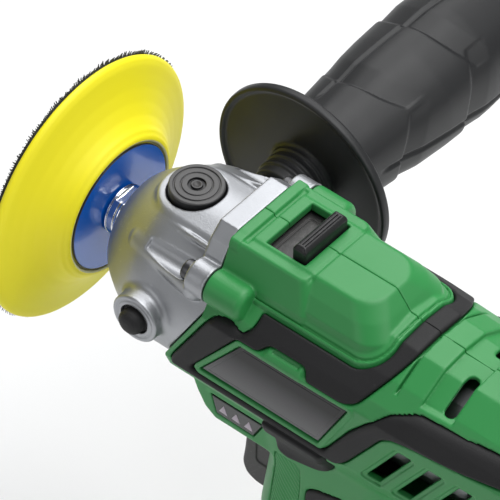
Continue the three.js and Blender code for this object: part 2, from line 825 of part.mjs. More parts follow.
function lockButton() {
  const cap = rod('z', BUTTON_RADIUS, CAP_BOTTOM_Z, BUTTON_TOP_Z, [0, 0], ROUND);
  return cap.add(rod('z', LOCK_PIN.radius, LOCK_PIN.tip, CAP_BOTTOM_Z + 1));
}

class Coil extends THREE.Curve {
  constructor(radius, height, turns) {
    super();
    this.radius = radius;
    this.height = height;
    this.turns = turns;
  }

  getPoint(t) {
    const angle = 2 * Math.PI * this.turns * t;
    return new THREE.Vector3(this.radius * Math.cos(angle), this.radius * Math.sin(angle), this.height * t);
  }
}

// Helical spring that rises along Z from the origin, between the outsides of its end turns.
function spring({ wire, radius, height, turns }) {
  const section = new THREE.Shape();
  section.absarc(0, 0, wire, 0, 2 * Math.PI);
  const geometry = new THREE.ExtrudeGeometry(section, {
    steps: Math.round(turns * 10),
    curveSegments: 3,
    bevelEnabled: false,
    extrudePath: new Coil(radius, height - 2 * wire, turns),
  });
  geometry.translate(0, 0, wire);
  return toSolid(geometry);
}

function speedSelector() {
  const plate = block(-45.5, OPENING.x1 + 0.9, -9.6, 9.6, 25.7, 27.1);
  const bar = prism('xz', [
    [-38.2, 26],
    [-34, 26],
    [-34, 33.6],
    [-34.9, 34.8],
    [-37.3, 34.8],
    [-38.2, 33.6],
  ], -8.3, 8.3);
  return plate.add(bar);
}

function trigger() {
  const outline = [
    [TRIGGER_REAR_X, -36.5],
    [TRIGGER_REAR_X, -52],
    [-33.5, -53],
    [-31, -59.4],
    [-24.5, -59.4],
    [-21, -57.8],
    [-19.6, -54.5],
    [-20.3, -49],
    [-20.7, -43],
    [-20.4, -35.3],
    [-33, -35.3],
  ];
  return prism('xz', outline, -8, 8);
}

function triggerSwitch() {
  return block(SWITCH_FRONT_X - 13, SWITCH_FRONT_X, -8, 8, -56, -38);
}

// ---- Electronics in the foot ----
function controlBoard() {
  return block(-83, -31, -18, 18, -116.2, -114.6);
}

function terminalBlock() {
  const body = block(-83, -70, -12, 12, RAIL.top + GAP, -116.5);
  const blades = [8, -8].map((y) => block(-82, -74, y - 0.5, y + 0.5, -123.4, RAIL.top + 1));
  return join([body, ...blades]);
}

// ---- Battery pack ----
const CASE_SPLIT_Z = -141;
const CASE_WALL = 2;

function caseOutline(z, shrink) {
  const x0 = FOOT_CENTRE_X - FOOT_HALF_LENGTH;
  const x1 = FOOT_CENTRE_X + FOOT_HALF_LENGTH;
  return levelRing(z, x0, x1, FOOT_HALF_WIDTH, 9, shrink);
}

// Latch button in the front of the pack, and the tray that its spring stands in.
const LATCH = { rear: -21.6, halfWidth: 9, bottom: -133.4, proud: 0.8 };
const TRAY = { rear: -24.2, wall: 1.1, halfWidth: 9.6, floorZ: -139 };
const LATCH_SPRING = {
  x: -20.3,
  wire: 0.25,
  radius: 2.2,
  height: LATCH.bottom - TRAY.floorZ - 2 * GAP,
  turns: 3,
};

function latchPocket() {
  return block(TRAY.rear + TRAY.wall, 0, -TRAY.halfWidth, TRAY.halfWidth, TRAY.floorZ, FOOT_BOTTOM_Z + 2);
}

function latchTray(top) {
  const half = TRAY.halfWidth + TRAY.wall;
  const front = FOOT_CENTRE_X + FOOT_HALF_LENGTH - CASE_WALL + 0.5;
  return block(TRAY.rear, front, -half, half, TRAY.floorZ - TRAY.wall, top - 1);
}

function batteryLowerCase() {
  const bottom = -AXIS_HEIGHT;
  const outer = loft([caseOutline(bottom, 1.2), caseOutline(bottom + 1.2, 0), caseOutline(CASE_SPLIT_Z, 0)]);
  const room = loft([caseOutline(bottom + CASE_WALL, CASE_WALL), caseOutline(CASE_SPLIT_Z + 1, CASE_WALL)]);
  return outer.subtract(room);
}

function batteryUpperCase() {
  const top = FOOT_BOTTOM_Z - GAP;
  const outer = loft([caseOutline(CASE_SPLIT_Z + GAP, 0), caseOutline(top, 0)]);
  const room = loft([caseOutline(CASE_SPLIT_Z - 1, CASE_WALL), caseOutline(top - 2.6, CASE_WALL)]);
  const neck = block(RAIL.rear, RAIL.front, -RAIL.neck, RAIL.neck, top - 1, RAIL.split + 1);
  const head = block(RAIL.rear, RAIL.front, -RAIL.head, RAIL.head, RAIL.split, RAIL.top);
  const slots = [8, -8].map((y) => block(-120, -73.6, y - 0.9, y + 0.9, -124, RAIL.top + 1));
  const solid = outer.subtract(room).add(neck).add(head).add(latchTray(top));
  return cut(solid, [...slots, latchPocket()]);
}

function batteryLatch() {
  const front = FOOT_CENTRE_X + FOOT_HALF_LENGTH + LATCH.proud;
  const half = LATCH.halfWidth;
  const button = block(LATCH.rear, front, -half, half, LATCH.bottom, FOOT_BOTTOM_Z - 0.6);
  return button.subtract(block(LATCH.rear + 2.6, front - 2.6, 2 - half, half - 2, -140, -130));
}

function batteryContacts() {
  return block(-72, -30, -12, 12, -132.6, -131.4);
}

// ---- Side handle ----
const GUARD = { near: -37.9, far: -40.4, radius: 27.2 };
const HANDLE_END_Y = -152;

// Moulded handle with its neck, guard disc and grip in one piece; its axis is the X axis of the profile.
function sideHandle() {
  const profile = [
    [HANDLE_END_Y, 0],
    [HANDLE_END_Y, 9],
    [HANDLE_END_Y + 2, 13.6],
    [HANDLE_END_Y + 7, 16.2],
    [HANDLE_END_Y + 14, 17],
    [-118, 16.4],
    [-96, 17.6],
    [-78, 17.4],
    [-60, 15.8],
    [-46, 14.4],
    [GUARD.far, 14.2],
    [GUARD.far, GUARD.radius - 0.6],
    [GUARD.far + 0.5, GUARD.radius],
    [GUARD.near + 0.3, GUARD.radius],
    [GUARD.near + 0.8, GUARD.radius - 0.8],
    [GUARD.near, GUARD.radius - 2.4],
    [GUARD.near, 10],
    [-34, 8.6],
    [-HANDLE_FACE_Y - 0.8, 8.2],
    [-HANDLE_FACE_Y - 0.8, 0],
  ];
  const body = turnedX(profile, FINE).rotate([0, 0, 90]);
  return body.subtract(rod('y', 4.2, -56, 0));
}

function handleStud() {
  return rod('y', 3.9, -55.6, -STUD_BORE.depth - 0.4);
}

// ---- Assembly ----
const part = new THREE.Group();
const tool = new THREE.Group();
tool.position.set(-FOOT_CENTRE_X, 0, AXIS_HEIGHT);
part.add(tool);

function place(name, solid, material, parent = tool) {
  const mesh = new THREE.Mesh(toGeometry(solid), material);
  mesh.name = name;
  parent.add(mesh);
  return mesh;
}

function assembleBody() {
  const shell = clamshell();
  place('housing_left', clamshellHalf(shell, 1), GREEN);
  place('housing_right', clamshellHalf(shell, -1), GREEN);
  place('overmould_left', overmould(1), RUBBER_BLACK);
  place('overmould_right', overmould(-1), RUBBER_BLACK);
  place('rating_label_left', ratingLabel(1), LABEL_SILVER);
  place('rating_label_right', ratingLabel(-1), LABEL_SILVER);
  place('gauge_lens', gaugeLens(), LENS_DARK);
  SCREWS.forEach((screw, i) => {
    place(`housing_screw_${i + 1}`, housingScrew(screw), STEEL).position.set(screw.x, 0, screw.z);
  });
}

function assembleHead() {
  place('gear_case', gearCase(), ALLOY);
  place('handle_hole_plug', handleHolePlug(), RUBBER_BLACK);
  place('gear_case_screw_left', headScrew(), STEEL).position.set(0, BOSS.y, BOSS.z);
  place('gear_case_screw_right', headScrew(), STEEL).position.set(0, -BOSS.y, BOSS.z);
  place('spindle_bearing_front', tube('x', BEARING.outer, BEARING.inner, 9.4, 17.4), STEEL);
  place('spindle_bearing_rear', tube('x', BEARING.outer, BEARING.inner, -9.3, -1), STEEL);
  place('spindle_seal', spindleSeal(), COPPER);
  place('ring_gear', ringGear(), STEEL);
}

function assembleSpindle() {
  const group = new THREE.Group();
  tool.add(group);
  place('spindle', spindle(), CHROME, group);
  place('planet_carrier', planetCarrier(), STEEL, group);
  place('pad_hub_disc', padHubDisc(), HUB_BLUE, group);
  place('backing_pad', backingPad(), FOAM_YELLOW, group);
  place('hook_face', hookFace(), HOOK_BLACK, group);
  for (let i = 0; i < PLANET_COUNT; i += 1) {
    const angle = (i * 2 * Math.PI) / PLANET_COUNT;
    const planet = place(`planet_gear_${i + 1}`, planetGear(), STEEL, group);
    planet.position.set(0, ORBIT_RADIUS * Math.cos(angle), ORBIT_RADIUS * Math.sin(angle));
    planet.rotation.x = angle;
  }
}

function assembleMotor() {
  const group = new THREE.Group();
  tool.add(group);
  place('sun_gear', sunGear(), STEEL, group);
  place('motor_shaft', motorShaft(), STEEL, group);
  place('armature_core', armatureCore(), COPPER, group);
  place('commutator', commutator(), COPPER, group);
  place('cooling_fan', coolingFan(), BLACK_PLASTIC, group);
  place('motor_can', motorCan(), STEEL);
  place('motor_magnet_upper', motorMagnet(1), MAGNET);
  place('motor_magnet_lower', motorMagnet(-1), MAGNET);
  place('motor_end_cap', motorEndCap(), BLACK_PLASTIC);
  place('carbon_brush_left', carbonBrush(1), MAGNET);
  place('carbon_brush_right', carbonBrush(-1), MAGNET);
  place('motor_bush_front', bush(-46, -43, 5.2), BRASS);
  place('motor_bush_rear', bush(-103.6, -99, 3.1), BRASS);
}

function assembleControls() {
  const button = place('spindle_lock_button', lockButton(), BLACK_PLASTIC);
  button.position.x = BUTTON_X;
  const buttonSpring = place('spindle_lock_spring', spring(LOCK_SPRING), STEEL);
  buttonSpring.position.set(BUTTON_X, 0, WELL_FLOOR_Z + GAP);
  place('speed_selector', speedSelector(), BLACK_PLASTIC);
  place('trigger', trigger(), BLACK_PLASTIC);
  const triggerSpring = place('trigger_spring', spring(TRIGGER_SPRING), STEEL);
  triggerSpring.rotation.y = -Math.PI / 2;
  triggerSpring.position.set(TRIGGER_REAR_X - GAP, 0, TRIGGER_SPRING.z);
  place('trigger_switch', triggerSwitch(), BLACK_PLASTIC);
  place('control_board', controlBoard(), BOARD_GREEN);
  place('terminal_block', terminalBlock(), BRASS);
}

function assembleBattery() {
  const pack = new THREE.Group();
  tool.add(pack);
  place('battery_lower_case', batteryLowerCase(), BLACK_PLASTIC, pack);
  place('battery_upper_case', batteryUpperCase(), BLACK_PLASTIC, pack);
  ['right', 'middle', 'left'].forEach((side, i) => {
    const cell = rod('x', CELL_RADIUS, -CELL_LENGTH / 2, CELL_LENGTH / 2, [0, 0], 24);
    const mesh = place(`battery_cell_${side}`, cell, CELL_SLEEVE, pack);
    mesh.position.set(FOOT_CENTRE_X, (i - 1) * CELL_SPACING, -143.3);
  });
  place('battery_contacts', batteryContacts(), BRASS, pack);
  place('battery_latch', batteryLatch(), BLACK_PLASTIC, pack);
  const latchSpring = place('battery_latch_spring', spring(LATCH_SPRING), STEEL, pack);
  latchSpring.position.set(LATCH_SPRING.x, 0, TRAY.floorZ + GAP);
}

function assembleSideHandle() {
  const group = new THREE.Group();
  tool.add(group);
  place('side_handle', sideHandle(), BLACK_PLASTIC, group);
  place('side_handle_stud', handleStud(), STEEL, group);
}

assembleBody();
assembleHead();
assembleSpindle();
assembleMotor();
assembleControls();
assembleBattery();
assembleSideHandle();

export default part;
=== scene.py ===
import math
from functools import reduce

import bpy
import numpy as np
from mathutils import Matrix, Vector


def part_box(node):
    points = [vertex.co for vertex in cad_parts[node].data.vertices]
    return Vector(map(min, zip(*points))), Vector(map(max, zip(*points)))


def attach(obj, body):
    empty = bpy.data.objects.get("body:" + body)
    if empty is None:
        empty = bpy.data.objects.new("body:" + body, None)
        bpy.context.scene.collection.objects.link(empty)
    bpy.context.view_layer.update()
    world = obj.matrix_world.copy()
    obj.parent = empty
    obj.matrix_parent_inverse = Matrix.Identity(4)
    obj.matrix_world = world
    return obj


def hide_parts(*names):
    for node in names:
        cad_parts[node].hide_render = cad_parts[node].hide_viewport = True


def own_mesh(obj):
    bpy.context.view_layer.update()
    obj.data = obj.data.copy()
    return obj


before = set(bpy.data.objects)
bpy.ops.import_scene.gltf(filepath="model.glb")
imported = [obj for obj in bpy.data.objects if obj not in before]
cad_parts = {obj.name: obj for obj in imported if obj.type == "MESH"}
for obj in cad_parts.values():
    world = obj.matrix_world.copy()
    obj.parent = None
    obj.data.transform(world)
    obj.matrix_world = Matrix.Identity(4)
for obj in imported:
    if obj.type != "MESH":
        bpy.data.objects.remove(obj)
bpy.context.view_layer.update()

# Shapes are described in millimetres from the spindle axis O: X forward, Y to the left, Z up.
HUB_LO, HUB_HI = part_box("pad_hub_disc")
OFFSET = np.array([HUB_LO.x * 1000 - 28, 0.0, (HUB_LO.z + HUB_HI.z) * 500])
FINE = 1.0


# ---- Distance fields ----
class Grid:
    """Sample planes between two corners; side sets a half with fine samples from the parting plane."""

    def __init__(self, lo, hi, step, side=0):
        ax = [np.arange(a, b + step, step, dtype=np.float32) for a, b in zip(lo, hi)]
        if side:
            near = np.concatenate([[0.015, 0.065, 0.16, 0.34], np.arange(0.34 + step, 34, step)])
            near = near.astype(np.float32)
            ax[1] = near if side > 0 else -near[::-1]
        self.axes = ax
        self.x, self.y, self.z = ax[0][:, None, None], ax[1][None, :, None], ax[2][None, None, :]
        self.m = np.abs(self.y)
        self.shape = tuple(len(a) for a in ax)


def union(*fields):
    return reduce(np.minimum, fields)


def both(*fields):
    return reduce(np.maximum, fields)


def less(a, *cutters):
    for c in cutters:
        a = np.maximum(a, -c)
    return a


def soft_union(a, b, k):
    h = np.maximum(k - np.abs(a - b), 0) / k
    return np.minimum(a, b) - h * h * k / 4


def soft_both(a, b, k):
    return -soft_union(-a, -b, k)


def soft_less(a, b, k):
    return soft_both(a, -b, k)


def poly(u, v, points):
    """Signed distance to a polygon in the plane of u and v."""
    p = np.array(points, np.float32)
    best, inside = np.inf, False
    for (ax, ay), (bx, by) in zip(p, np.roll(p, -1, 0)):
        ex, ey = bx - ax, by - ay
        wx, wy = u - ax, v - ay
        t = np.clip((wx * ex + wy * ey) / max(ex * ex + ey * ey, 1e-9), 0, 1)
        dx, dy = wx - ex * t, wy - ey * t
        d = dx * dx + dy * dy
        crosses = ((v >= ay) != (v >= by)) & ((ex * wy - ey * wx) * (1 if by > ay else -1) > 0)
        best = np.minimum(best, d)
        inside = inside ^ crosses
    return np.where(inside, -1, 1) * np.sqrt(best)


def slab(w, lo, hi):
    return np.abs(w - (lo + hi) / 2) - (hi - lo) / 2


def round_corner(a, b):
    """Distance to the quarter where a and b are both negative."""
    return np.sqrt(np.maximum(a, 0) ** 2 + np.maximum(b, 0) ** 2) + np.minimum(np.maximum(a, b), 0)


def extrude(flat, w, lo, hi, r=0.0):
    s = slab(w, lo, hi)
    return np.maximum(flat, s) if r == 0 else round_corner(flat + r, s + r) - r


def round_rect(u, v, u0, u1, v0, v1, r):
    a = np.abs(u - (u0 + u1) / 2) - (u1 - u0) / 2 + r
    b = np.abs(v - (v0 + v1) / 2) - (v1 - v0) / 2 + r
    return round_corner(a, b) - r


def box(g, x0, x1, y0, y1, z0, z1, r=0.0):
    return extrude(round_rect(g.x, g.y, x0, x1, y0, y1, r), g.z, z0, z1, r)


def rod(g, axis, radius, lo, hi, a=0.0, b=0.0, r=0.0):
    u, v, w = {"x": (g.y, g.z, g.x), "y": (g.x, g.z, g.y), "z": (g.x, g.y, g.z)}[axis]
    return extrude(np.sqrt((u - a) ** 2 + (v - b) ** 2) - radius, w, lo, hi, r)


def corner_curve(a, b, c, r, steps):
    """Points of a curve that replaces corner b, on the way from a to c, with a radius of about r."""
    back, ahead = np.linalg.norm(a - b), np.linalg.norm(c - b)
    m = min(r, back * 0.45, ahead * 0.45)
    start, end = b + (a - b) / max(back, 1e-6) * m, b + (c - b) / max(ahead, 1e-6) * m
    return [(1 - t) ** 2 * start + 2 * t * (1 - t) * b + t * t * end for t in steps]


def rounded(points, r):
    """A closed outline with its corners rounded."""
    p = np.array(points, float)
    out = []
    for a, b, c in zip(np.roll(p, 1, 0), p, np.roll(p, -1, 0)):
        out += corner_curve(a, b, c, r, (0, 0.35, 0.65, 1))
    return np.array(out)


def at(x, xs, values):
    """Values at xs, joined smoothly."""
    order = np.argsort(xs)
    xs, values = np.array(xs, float)[order], np.array(values, float)[order]
    fine = np.linspace(xs[0], xs[-1], 400)
    line = np.interp(fine, xs, values)
    kernel = np.hanning(27)
    kernel /= kernel.sum()
    line = np.convolve(np.pad(line, 13, mode="edge"), kernel, "valid")
    return np.interp(x.ravel(), fine, line).reshape(x.shape).astype(np.float32)


# ---- Field to mesh ----
CORNERS = [(i, j, k) for i in (0, 1) for j in (0, 1) for k in (0, 1)]


def surface(g, field):
    """Surface nets: one vertex in each cell that the surface crosses, moved onto the surface."""
    f = np.broadcast_to(field, g.shape).astype(np.float32)
    f = np.pad(f, 1, constant_values=9.0)
    planes = [np.concatenate([[2 * a[0] - a[1]], a, [2 * a[-1] - a[-2]]]) for a in g.axes]
    neg = f < 0
    n = np.array(f.shape) - 1
    total = np.zeros(n, np.int8)
    for i, j, k in CORNERS:
        total += neg[i:i + n[0], j:j + n[1], k:k + n[2]]
    cells = np.argwhere((total > 0) & (total < 8))
    index = np.full(n, -1, np.int32)
    index[tuple(cells.T)] = np.arange(len(cells))
    v = [f[cells[:, 0] + i, cells[:, 1] + j, cells[:, 2] + k] for i, j, k in CORNERS]
    place = np.zeros((len(cells), 3))
    count = np.zeros(len(cells))
    for a in range(8):
        for axis, bit in ((0, 4), (1, 2), (2, 1)):
            if a & bit:
                continue
            b = a | bit
            hit = (v[a] < 0) != (v[b] < 0)
            t = v[a][hit] / (v[a][hit] - v[b][hit])
            pos = np.repeat(np.array(CORNERS[a], float)[None], len(t), 0)
            pos[:, axis] += t
            place[hit] += pos
            count[hit] += 1
    place /= count[:, None]
    verts = cells + place
    verts = settle(f, verts, cells)
    quads = []
    for axis in range(3):
        a, b = [(1, 2), (2, 0), (0, 1)][axis]
        lo = [slice(0, size) for size in n]
        hi = list(lo)
        hi[axis] = slice(1, n[axis] + 1)
        first, second = neg[tuple(lo)], neg[tuple(hi)]
        edges = np.argwhere(first != second)
        edges = edges[(edges[:, a] > 0) & (edges[:, b] > 0)]
        inner = first[tuple(edges.T)]
        da, db = np.eye(3, dtype=int)[a], np.eye(3, dtype=int)[b]
        quad = np.stack([index[tuple((edges - s).T)] for s in (da + db, db, 0 * da, da)], 1)
        quad[~inner] = quad[~inner][:, ::-1]
        quads.append(quad)
    quads = np.vstack(quads)
    return np.stack([np.interp(verts[:, i], np.arange(len(a)), a) for i, a in enumerate(planes)], 1), quads


def settle(f, verts, cells):
    """Newton steps onto the surface inside each vertex's own cell."""
    for _ in range(4):
        t = verts - cells
        value = np.zeros(len(verts))
        slope = np.zeros((len(verts), 3))
        for i, j, k in CORNERS:
            c = f[cells[:, 0] + i, cells[:, 1] + j, cells[:, 2] + k]
            w = [t[:, axis] if far else 1 - t[:, axis] for axis, far in enumerate((i, j, k))]
            value += c * w[0] * w[1] * w[2]
            slope[:, 0] += c * (1 if i else -1) * w[1] * w[2]
            slope[:, 1] += c * (1 if j else -1) * w[0] * w[2]
            slope[:, 2] += c * (1 if k else -1) * w[0] * w[1]
        step = slope * (value / np.maximum((slope ** 2).sum(1), 1e-6))[:, None]
        verts = cells + np.clip(verts - cells - np.clip(step, -0.5, 0.5), 0.02, 0.98)
    return verts


def show(name, data):
    """A new object in the scene."""
    ob = bpy.data.objects.new(name, data)
    bpy.context.scene.collection.objects.link(ob)
    return ob


def add_mesh(name, verts, faces):
    mesh = bpy.data.meshes.new(name)
    mesh.from_pydata(((np.asarray(verts) + OFFSET) / 1000).tolist(), [], [list(map(int, q)) for q in faces])
    mesh.update()
    mesh.shade_smooth()
    return show(name, mesh)


def modify(ob, kind, **values):
    m = ob.modifiers.new(kind.lower(), kind)
    for key, value in values.items():
        setattr(m, key, value)
    bpy.context.view_layer.objects.active = ob
    ob.select_set(True)
    bpy.ops.object.modifier_apply(modifier=m.name)
    ob.select_set(False)


def solid(name, g, field, keep=1.0):
    """A piece from its distance field, thinned to the given share of its faces."""
    ob = add_mesh(name, *surface(g, field))
    if keep < 1:
        modify(ob, "DECIMATE", ratio=keep)
        ob.data.shade_smooth()
    return ob


def finish_piece(ob, body, material, nodes=()):
    ob.data.materials.clear()
    ob.data.materials.append(material)
    if nodes:
        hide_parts(*nodes)
    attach(ob, body)
    return ob


def piece(name, g, field, keep, body, material, node):
    """A piece from its field that stands for one CAD node."""
    return finish_piece(solid(name, g, field, keep), body, material, [node])


# ---- Materials ----
# Pointiness from which an edge starts to turn paler, and at which it is fully pale: partly wear, partly a
# painted edge highlight.
EDGE_WEAR_AND_GLINT = (0.54, 0.7)
# Heights in metres between which the label's ground clears.
LABEL_FADE = (0.1600, 0.1470)


def links(material):
    tree = material.node_tree
    return tree.nodes, tree.links, tree.nodes["Principled BSDF"]


def shader_node(nodes, kind, **values):
    """A new shader node with its input values; an underscore in a key stands for a space."""
    node = nodes.new("ShaderNode" + kind)
    for key, value in values.items():
        node.inputs[key.replace("_", " ")].default_value = value
    return node


def colour_mix(nodes, **colours):
    mix = nodes.new("ShaderNodeMix")
    mix.data_type = "RGBA"
    for key, colour in colours.items():
        mix.inputs[key].default_value = (*colour, 1)
    return mix


def finish(name, colour, rough, metallic=0.0, second=None, patch=60.0, spread=0.06, grain=2500.0, bump=0.1,
           deep=0.0002, edge_wear_and_glint=0.0, coat=0.0, brush=None, sheen=0.0, specular=0.5):
    """A moulded, cast or machined finish: drifting colour, grain, patchy gloss and paler edges, partly wear
    and partly a painted edge highlight.
    """
    m = bpy.data.materials.new(name)
    m.use_nodes = True
    nodes, link, shader = links(m)
    where = nodes.new("ShaderNodeTexCoord").outputs["Object"]
    spot = where
    if brush:
        stretch = shader_node(nodes, "Mapping", Scale=brush)
        link.new(where, stretch.inputs["Vector"])
        spot = stretch.outputs["Vector"]
    drift = shader_node(nodes, "TexNoise", Scale=patch, Detail=5)
    link.new(where, drift.inputs["Vector"])
    mix = colour_mix(nodes, A=colour, B=second or tuple(c * 0.86 for c in colour))
    link.new(drift.outputs["Fac"], mix.inputs["Factor"])
    out = mix.outputs["Result"]
    # convex edges painted paler: partly wear, partly a painted highlight where the edges catch the light
    if edge_wear_and_glint:
        ramp = nodes.new("ShaderNodeValToRGB")
        for stop, position in zip(ramp.color_ramp.elements, EDGE_WEAR_AND_GLINT):
            stop.position = position
        link.new(nodes.new("ShaderNodeNewGeometry").outputs["Pointiness"], ramp.inputs["Fac"])
        scale = nodes.new("ShaderNodeMath")
        scale.operation = "MULTIPLY"
        scale.inputs[1].default_value = edge_wear_and_glint
        link.new(ramp.outputs["Color"], scale.inputs[0])
        edge = colour_mix(nodes, B=tuple(min(1, c * 1.7 + 0.05) for c in colour))
        link.new(out, edge.inputs["A"])
        link.new(scale.outputs["Value"], edge.inputs["Factor"])
        out = edge.outputs["Result"]
    link.new(out, shader.inputs["Base Color"])
    fine = shader_node(nodes, "TexNoise", Scale=grain, Detail=3)
    link.new(spot, fine.inputs["Vector"])
    bend = shader_node(nodes, "Bump", Strength=bump, Distance=deep)
    link.new(fine.outputs["Fac"], bend.inputs["Height"])
    link.new(bend.outputs["Normal"], shader.inputs["Normal"])
    gloss = shader_node(nodes, "MapRange", To_Min=max(0.02, rough - spread), To_Max=min(1, rough + spread))
    link.new(drift.outputs["Fac"], gloss.inputs["Value"])
    link.new(gloss.outputs["Result"], shader.inputs["Roughness"])
    for key, value in (("Metallic", metallic), ("Coat Weight", coat), ("Coat Roughness", 0.08),
                       ("Sheen Weight", sheen), ("Specular IOR Level", specular)):
        shader.inputs[key].default_value = value
    return m


def shade_label(m):
    """The label's black ground clears to grey towards its lower edge."""
    nodes, link, shader = links(m)
    split = nodes.new("ShaderNodeSeparateXYZ")
    link.new(nodes.new("ShaderNodeTexCoord").outputs["Object"], split.inputs["Vector"])
    span = shader_node(nodes, "MapRange", From_Min=LABEL_FADE[0], From_Max=LABEL_FADE[1])
    link.new(split.outputs["Z"], span.inputs["Value"])
    mix = colour_mix(nodes, B=(0.17, 0.17, 0.175))
    link.new(shader.inputs["Base Color"].links[0].from_socket, mix.inputs["A"])
    link.new(span.outputs["Result"], mix.inputs["Factor"])
    link.new(mix.outputs["Result"], shader.inputs["Base Color"])


GREEN = finish("green_moulding", (0.030, 0.270, 0.066), 0.44, second=(0.026, 0.245, 0.059), edge_wear_and_glint=0.35,
               bump=0.12, grain=3800)
RUBBER = finish("soft_rubber", (0.019, 0.019, 0.020), 0.60, second=(0.014, 0.0135, 0.0145), specular=0.3,
                bump=0.3, grain=2600, edge_wear_and_glint=0.12)
BLACK = finish("black_moulding", (0.015, 0.015, 0.016), 0.38, second=(0.011, 0.011, 0.012), specular=0.35,
               bump=0.15, edge_wear_and_glint=0.25)
GREY = finish("grey_moulding", (0.050, 0.048, 0.048), 0.5, bump=0.2, edge_wear_and_glint=0.3, grain=3200)
ALLOY = finish("cast_alloy", (0.42, 0.43, 0.45), 0.45, metallic=0.9, second=(0.36, 0.37, 0.39), bump=0.22,
               grain=2200, edge_wear_and_glint=0.2)
CHROME = finish("chrome_plate", (0.82, 0.84, 0.87), 0.07, metallic=1, bump=0.01, spread=0.03, grain=900)
BRONZE = finish("sintered_bronze", (0.26, 0.20, 0.15), 0.5, metallic=0.75, second=(0.14, 0.11, 0.09),
                patch=700, bump=0.6, grain=2400)
STEEL = finish("ground_steel", (0.45, 0.46, 0.48), 0.3, metallic=1, bump=0.12, brush=(1, 30, 30), grain=400)
DARK_STEEL = finish("blackened_screw", (0.10, 0.10, 0.105), 0.36, metallic=0.9, bump=0.1)
COPPER = finish("wound_copper", (0.66, 0.30, 0.14), 0.32, metallic=1, second=(0.48, 0.2, 0.1), bump=0.5,
                grain=300, brush=(1, 14, 14))
BRASS = finish("stamped_brass", (0.66, 0.47, 0.17), 0.3, metallic=1, bump=0.1)
MAGNET = finish("sintered_ferrite", (0.055, 0.055, 0.06), 0.6, metallic=0.3, bump=0.4, grain=1500)
BOARD = finish("solder_mask", (0.02, 0.14, 0.05), 0.35, second=(0.05, 0.22, 0.09), patch=420, bump=0.3,
               grain=500)
SLEEVE = finish("shrink_sleeve", (0.05, 0.2, 0.5), 0.3, bump=0.1, coat=0.3)
LENS = finish("smoked_window", (0.045, 0.048, 0.048), 0.22, bump=0.03, coat=0.2)
LAMP = finish("lamp_window", (0.52, 0.45, 0.52), 0.35, second=(0.42, 0.36, 0.43), bump=0.1)
FOAM = finish("foam_skin", (0.98, 0.885, 0.014), 0.5, second=(0.97, 0.85, 0.012), patch=25, bump=0.05,
              grain=1800, spread=0.03)
HOOKS = finish("hook_pile", (0.022, 0.024, 0.022), 0.8, bump=0.9, grain=1400, deep=0.0005, sheen=0.3)
HUB = finish("printed_hub", (0.003, 0.135, 0.62), 0.22, second=(0.002, 0.118, 0.56), bump=0.03, coat=0.6,
             grain=900)
BUTTON = finish("button_moulding", (0.060, 0.059, 0.060), 0.42, bump=0.12, grain=3000)
HANDLE = finish("handle_moulding", (0.021, 0.0215, 0.0225), 0.42, second=(0.016, 0.0165, 0.0175),
                specular=0.32, bump=0.14, grain=3000, edge_wear_and_glint=0.2)
LABEL_FILM = finish("label_film", (0.006, 0.006, 0.007), 0.34, second=(0.008, 0.008, 0.009), bump=0.04,
                    specular=0.3)
shade_label(LABEL_FILM)
FLOOR = finish("studio_floor", (0.90, 0.90, 0.90), 0.75, second=(0.885, 0.885, 0.885), patch=3, bump=0.02,
               grain=300)
# a greyer, darker ring for the foam's lip beside the hub: painted shade of the hollow there and a painted
# pale line of light along the lip
LIP_SHADE_AND_GLINT = finish("painted_lip_shade_and_glint", (0.62, 0.60, 0.28), 0.4, bump=0.05)

NODE_FINISH = (
    (STEEL, "spindle_bearing_front spindle_bearing_rear ring_gear planet_carrier planet_gear_1 planet_gear_2 "
            "planet_gear_3 sun_gear motor_shaft motor_can side_handle_stud"),
    (COPPER, "armature_core commutator"),
    (BLACK, "cooling_fan motor_end_cap trigger_switch"),
    (MAGNET, "motor_magnet_upper motor_magnet_lower carbon_brush_left carbon_brush_right"),
    (BRASS, "motor_bush_front motor_bush_rear terminal_block battery_contacts"),
    (BOARD, "control_board"),
    (SLEEVE, "battery_cell_left battery_cell_middle battery_cell_right"),
)
for material, names in NODE_FINISH:
    for node in names.split():
        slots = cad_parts[node].data.materials
        slots.clear()
        slots.append(material)

# ---- Body forms ----
# Wall thickness of the housing, and the plan of its raised top with the corner radius.
WALL = 2.6
TOP_PLAN = (-68, 60, -17.3, 17.3, 7.5)
# Screw axes: the shoulder bosses of the gear head, and (x, z, half width of the body) of each housing screw.
BOSS_Y, BOSS_Z = 18.9, 18.2
SCREW_POSTS = ((-111, 6, 21.6), (-111, -10, 21.4), (-57, -29, 16), (-59, -97, 16.3))
# Place of the lock button's axis along the tool.
BUTTON_X = 3.1
# Outlines seen from the side are (x, z), the barrel's from behind is (y, z).
BARREL = [(0, 25), (8.2, 24.2), (16.3, 19.6), (21.4, 15), (24, 11), (24, -10.5), (22.1, -15), (16.3, -20.2),
          (8.2, -23.4), (0, -24)]
SEAM = [(-18.4, 60), (-300, 60), (-300, -200), (-7, -200), (-7, -10), (-18.4, 11)]
RUBBER_EDGE = [(-9.4, -12.2), (-9.2, -9.4), (-20.2, 10.2), (-22.4, 12.9), (-26.5, 13.6), (-31.0, 12.2),
               (-33.4, 15.0), (-33.4, 40), (-74.3, 40), (-74.3, 23.5), (-72.3, 20.2), (-66.6, 12.3),
               (-63.4, 10.9), (-51.5, 10.9), (-50.6, 13.6), (-39.3, 13.6), (-36.6, 10.9), (-30.0, 10.9),
               (-15.6, -9), (-58.4, -9), (-65.6, 2.6), (-70.7, 8.8), (-76, 13.8), (-82.5, 16.2),
               (-112.5, 16.9), (-112.5, 11.8), (-83, 9.0), (-78, 8.0), (-75, 6), (-65, -9), (-61.5, -12.2)]
TAB = [(-37.0, 9.0), (-51.0, 9.0), (-50.4, 13.4), (-39.3, 13.4)]
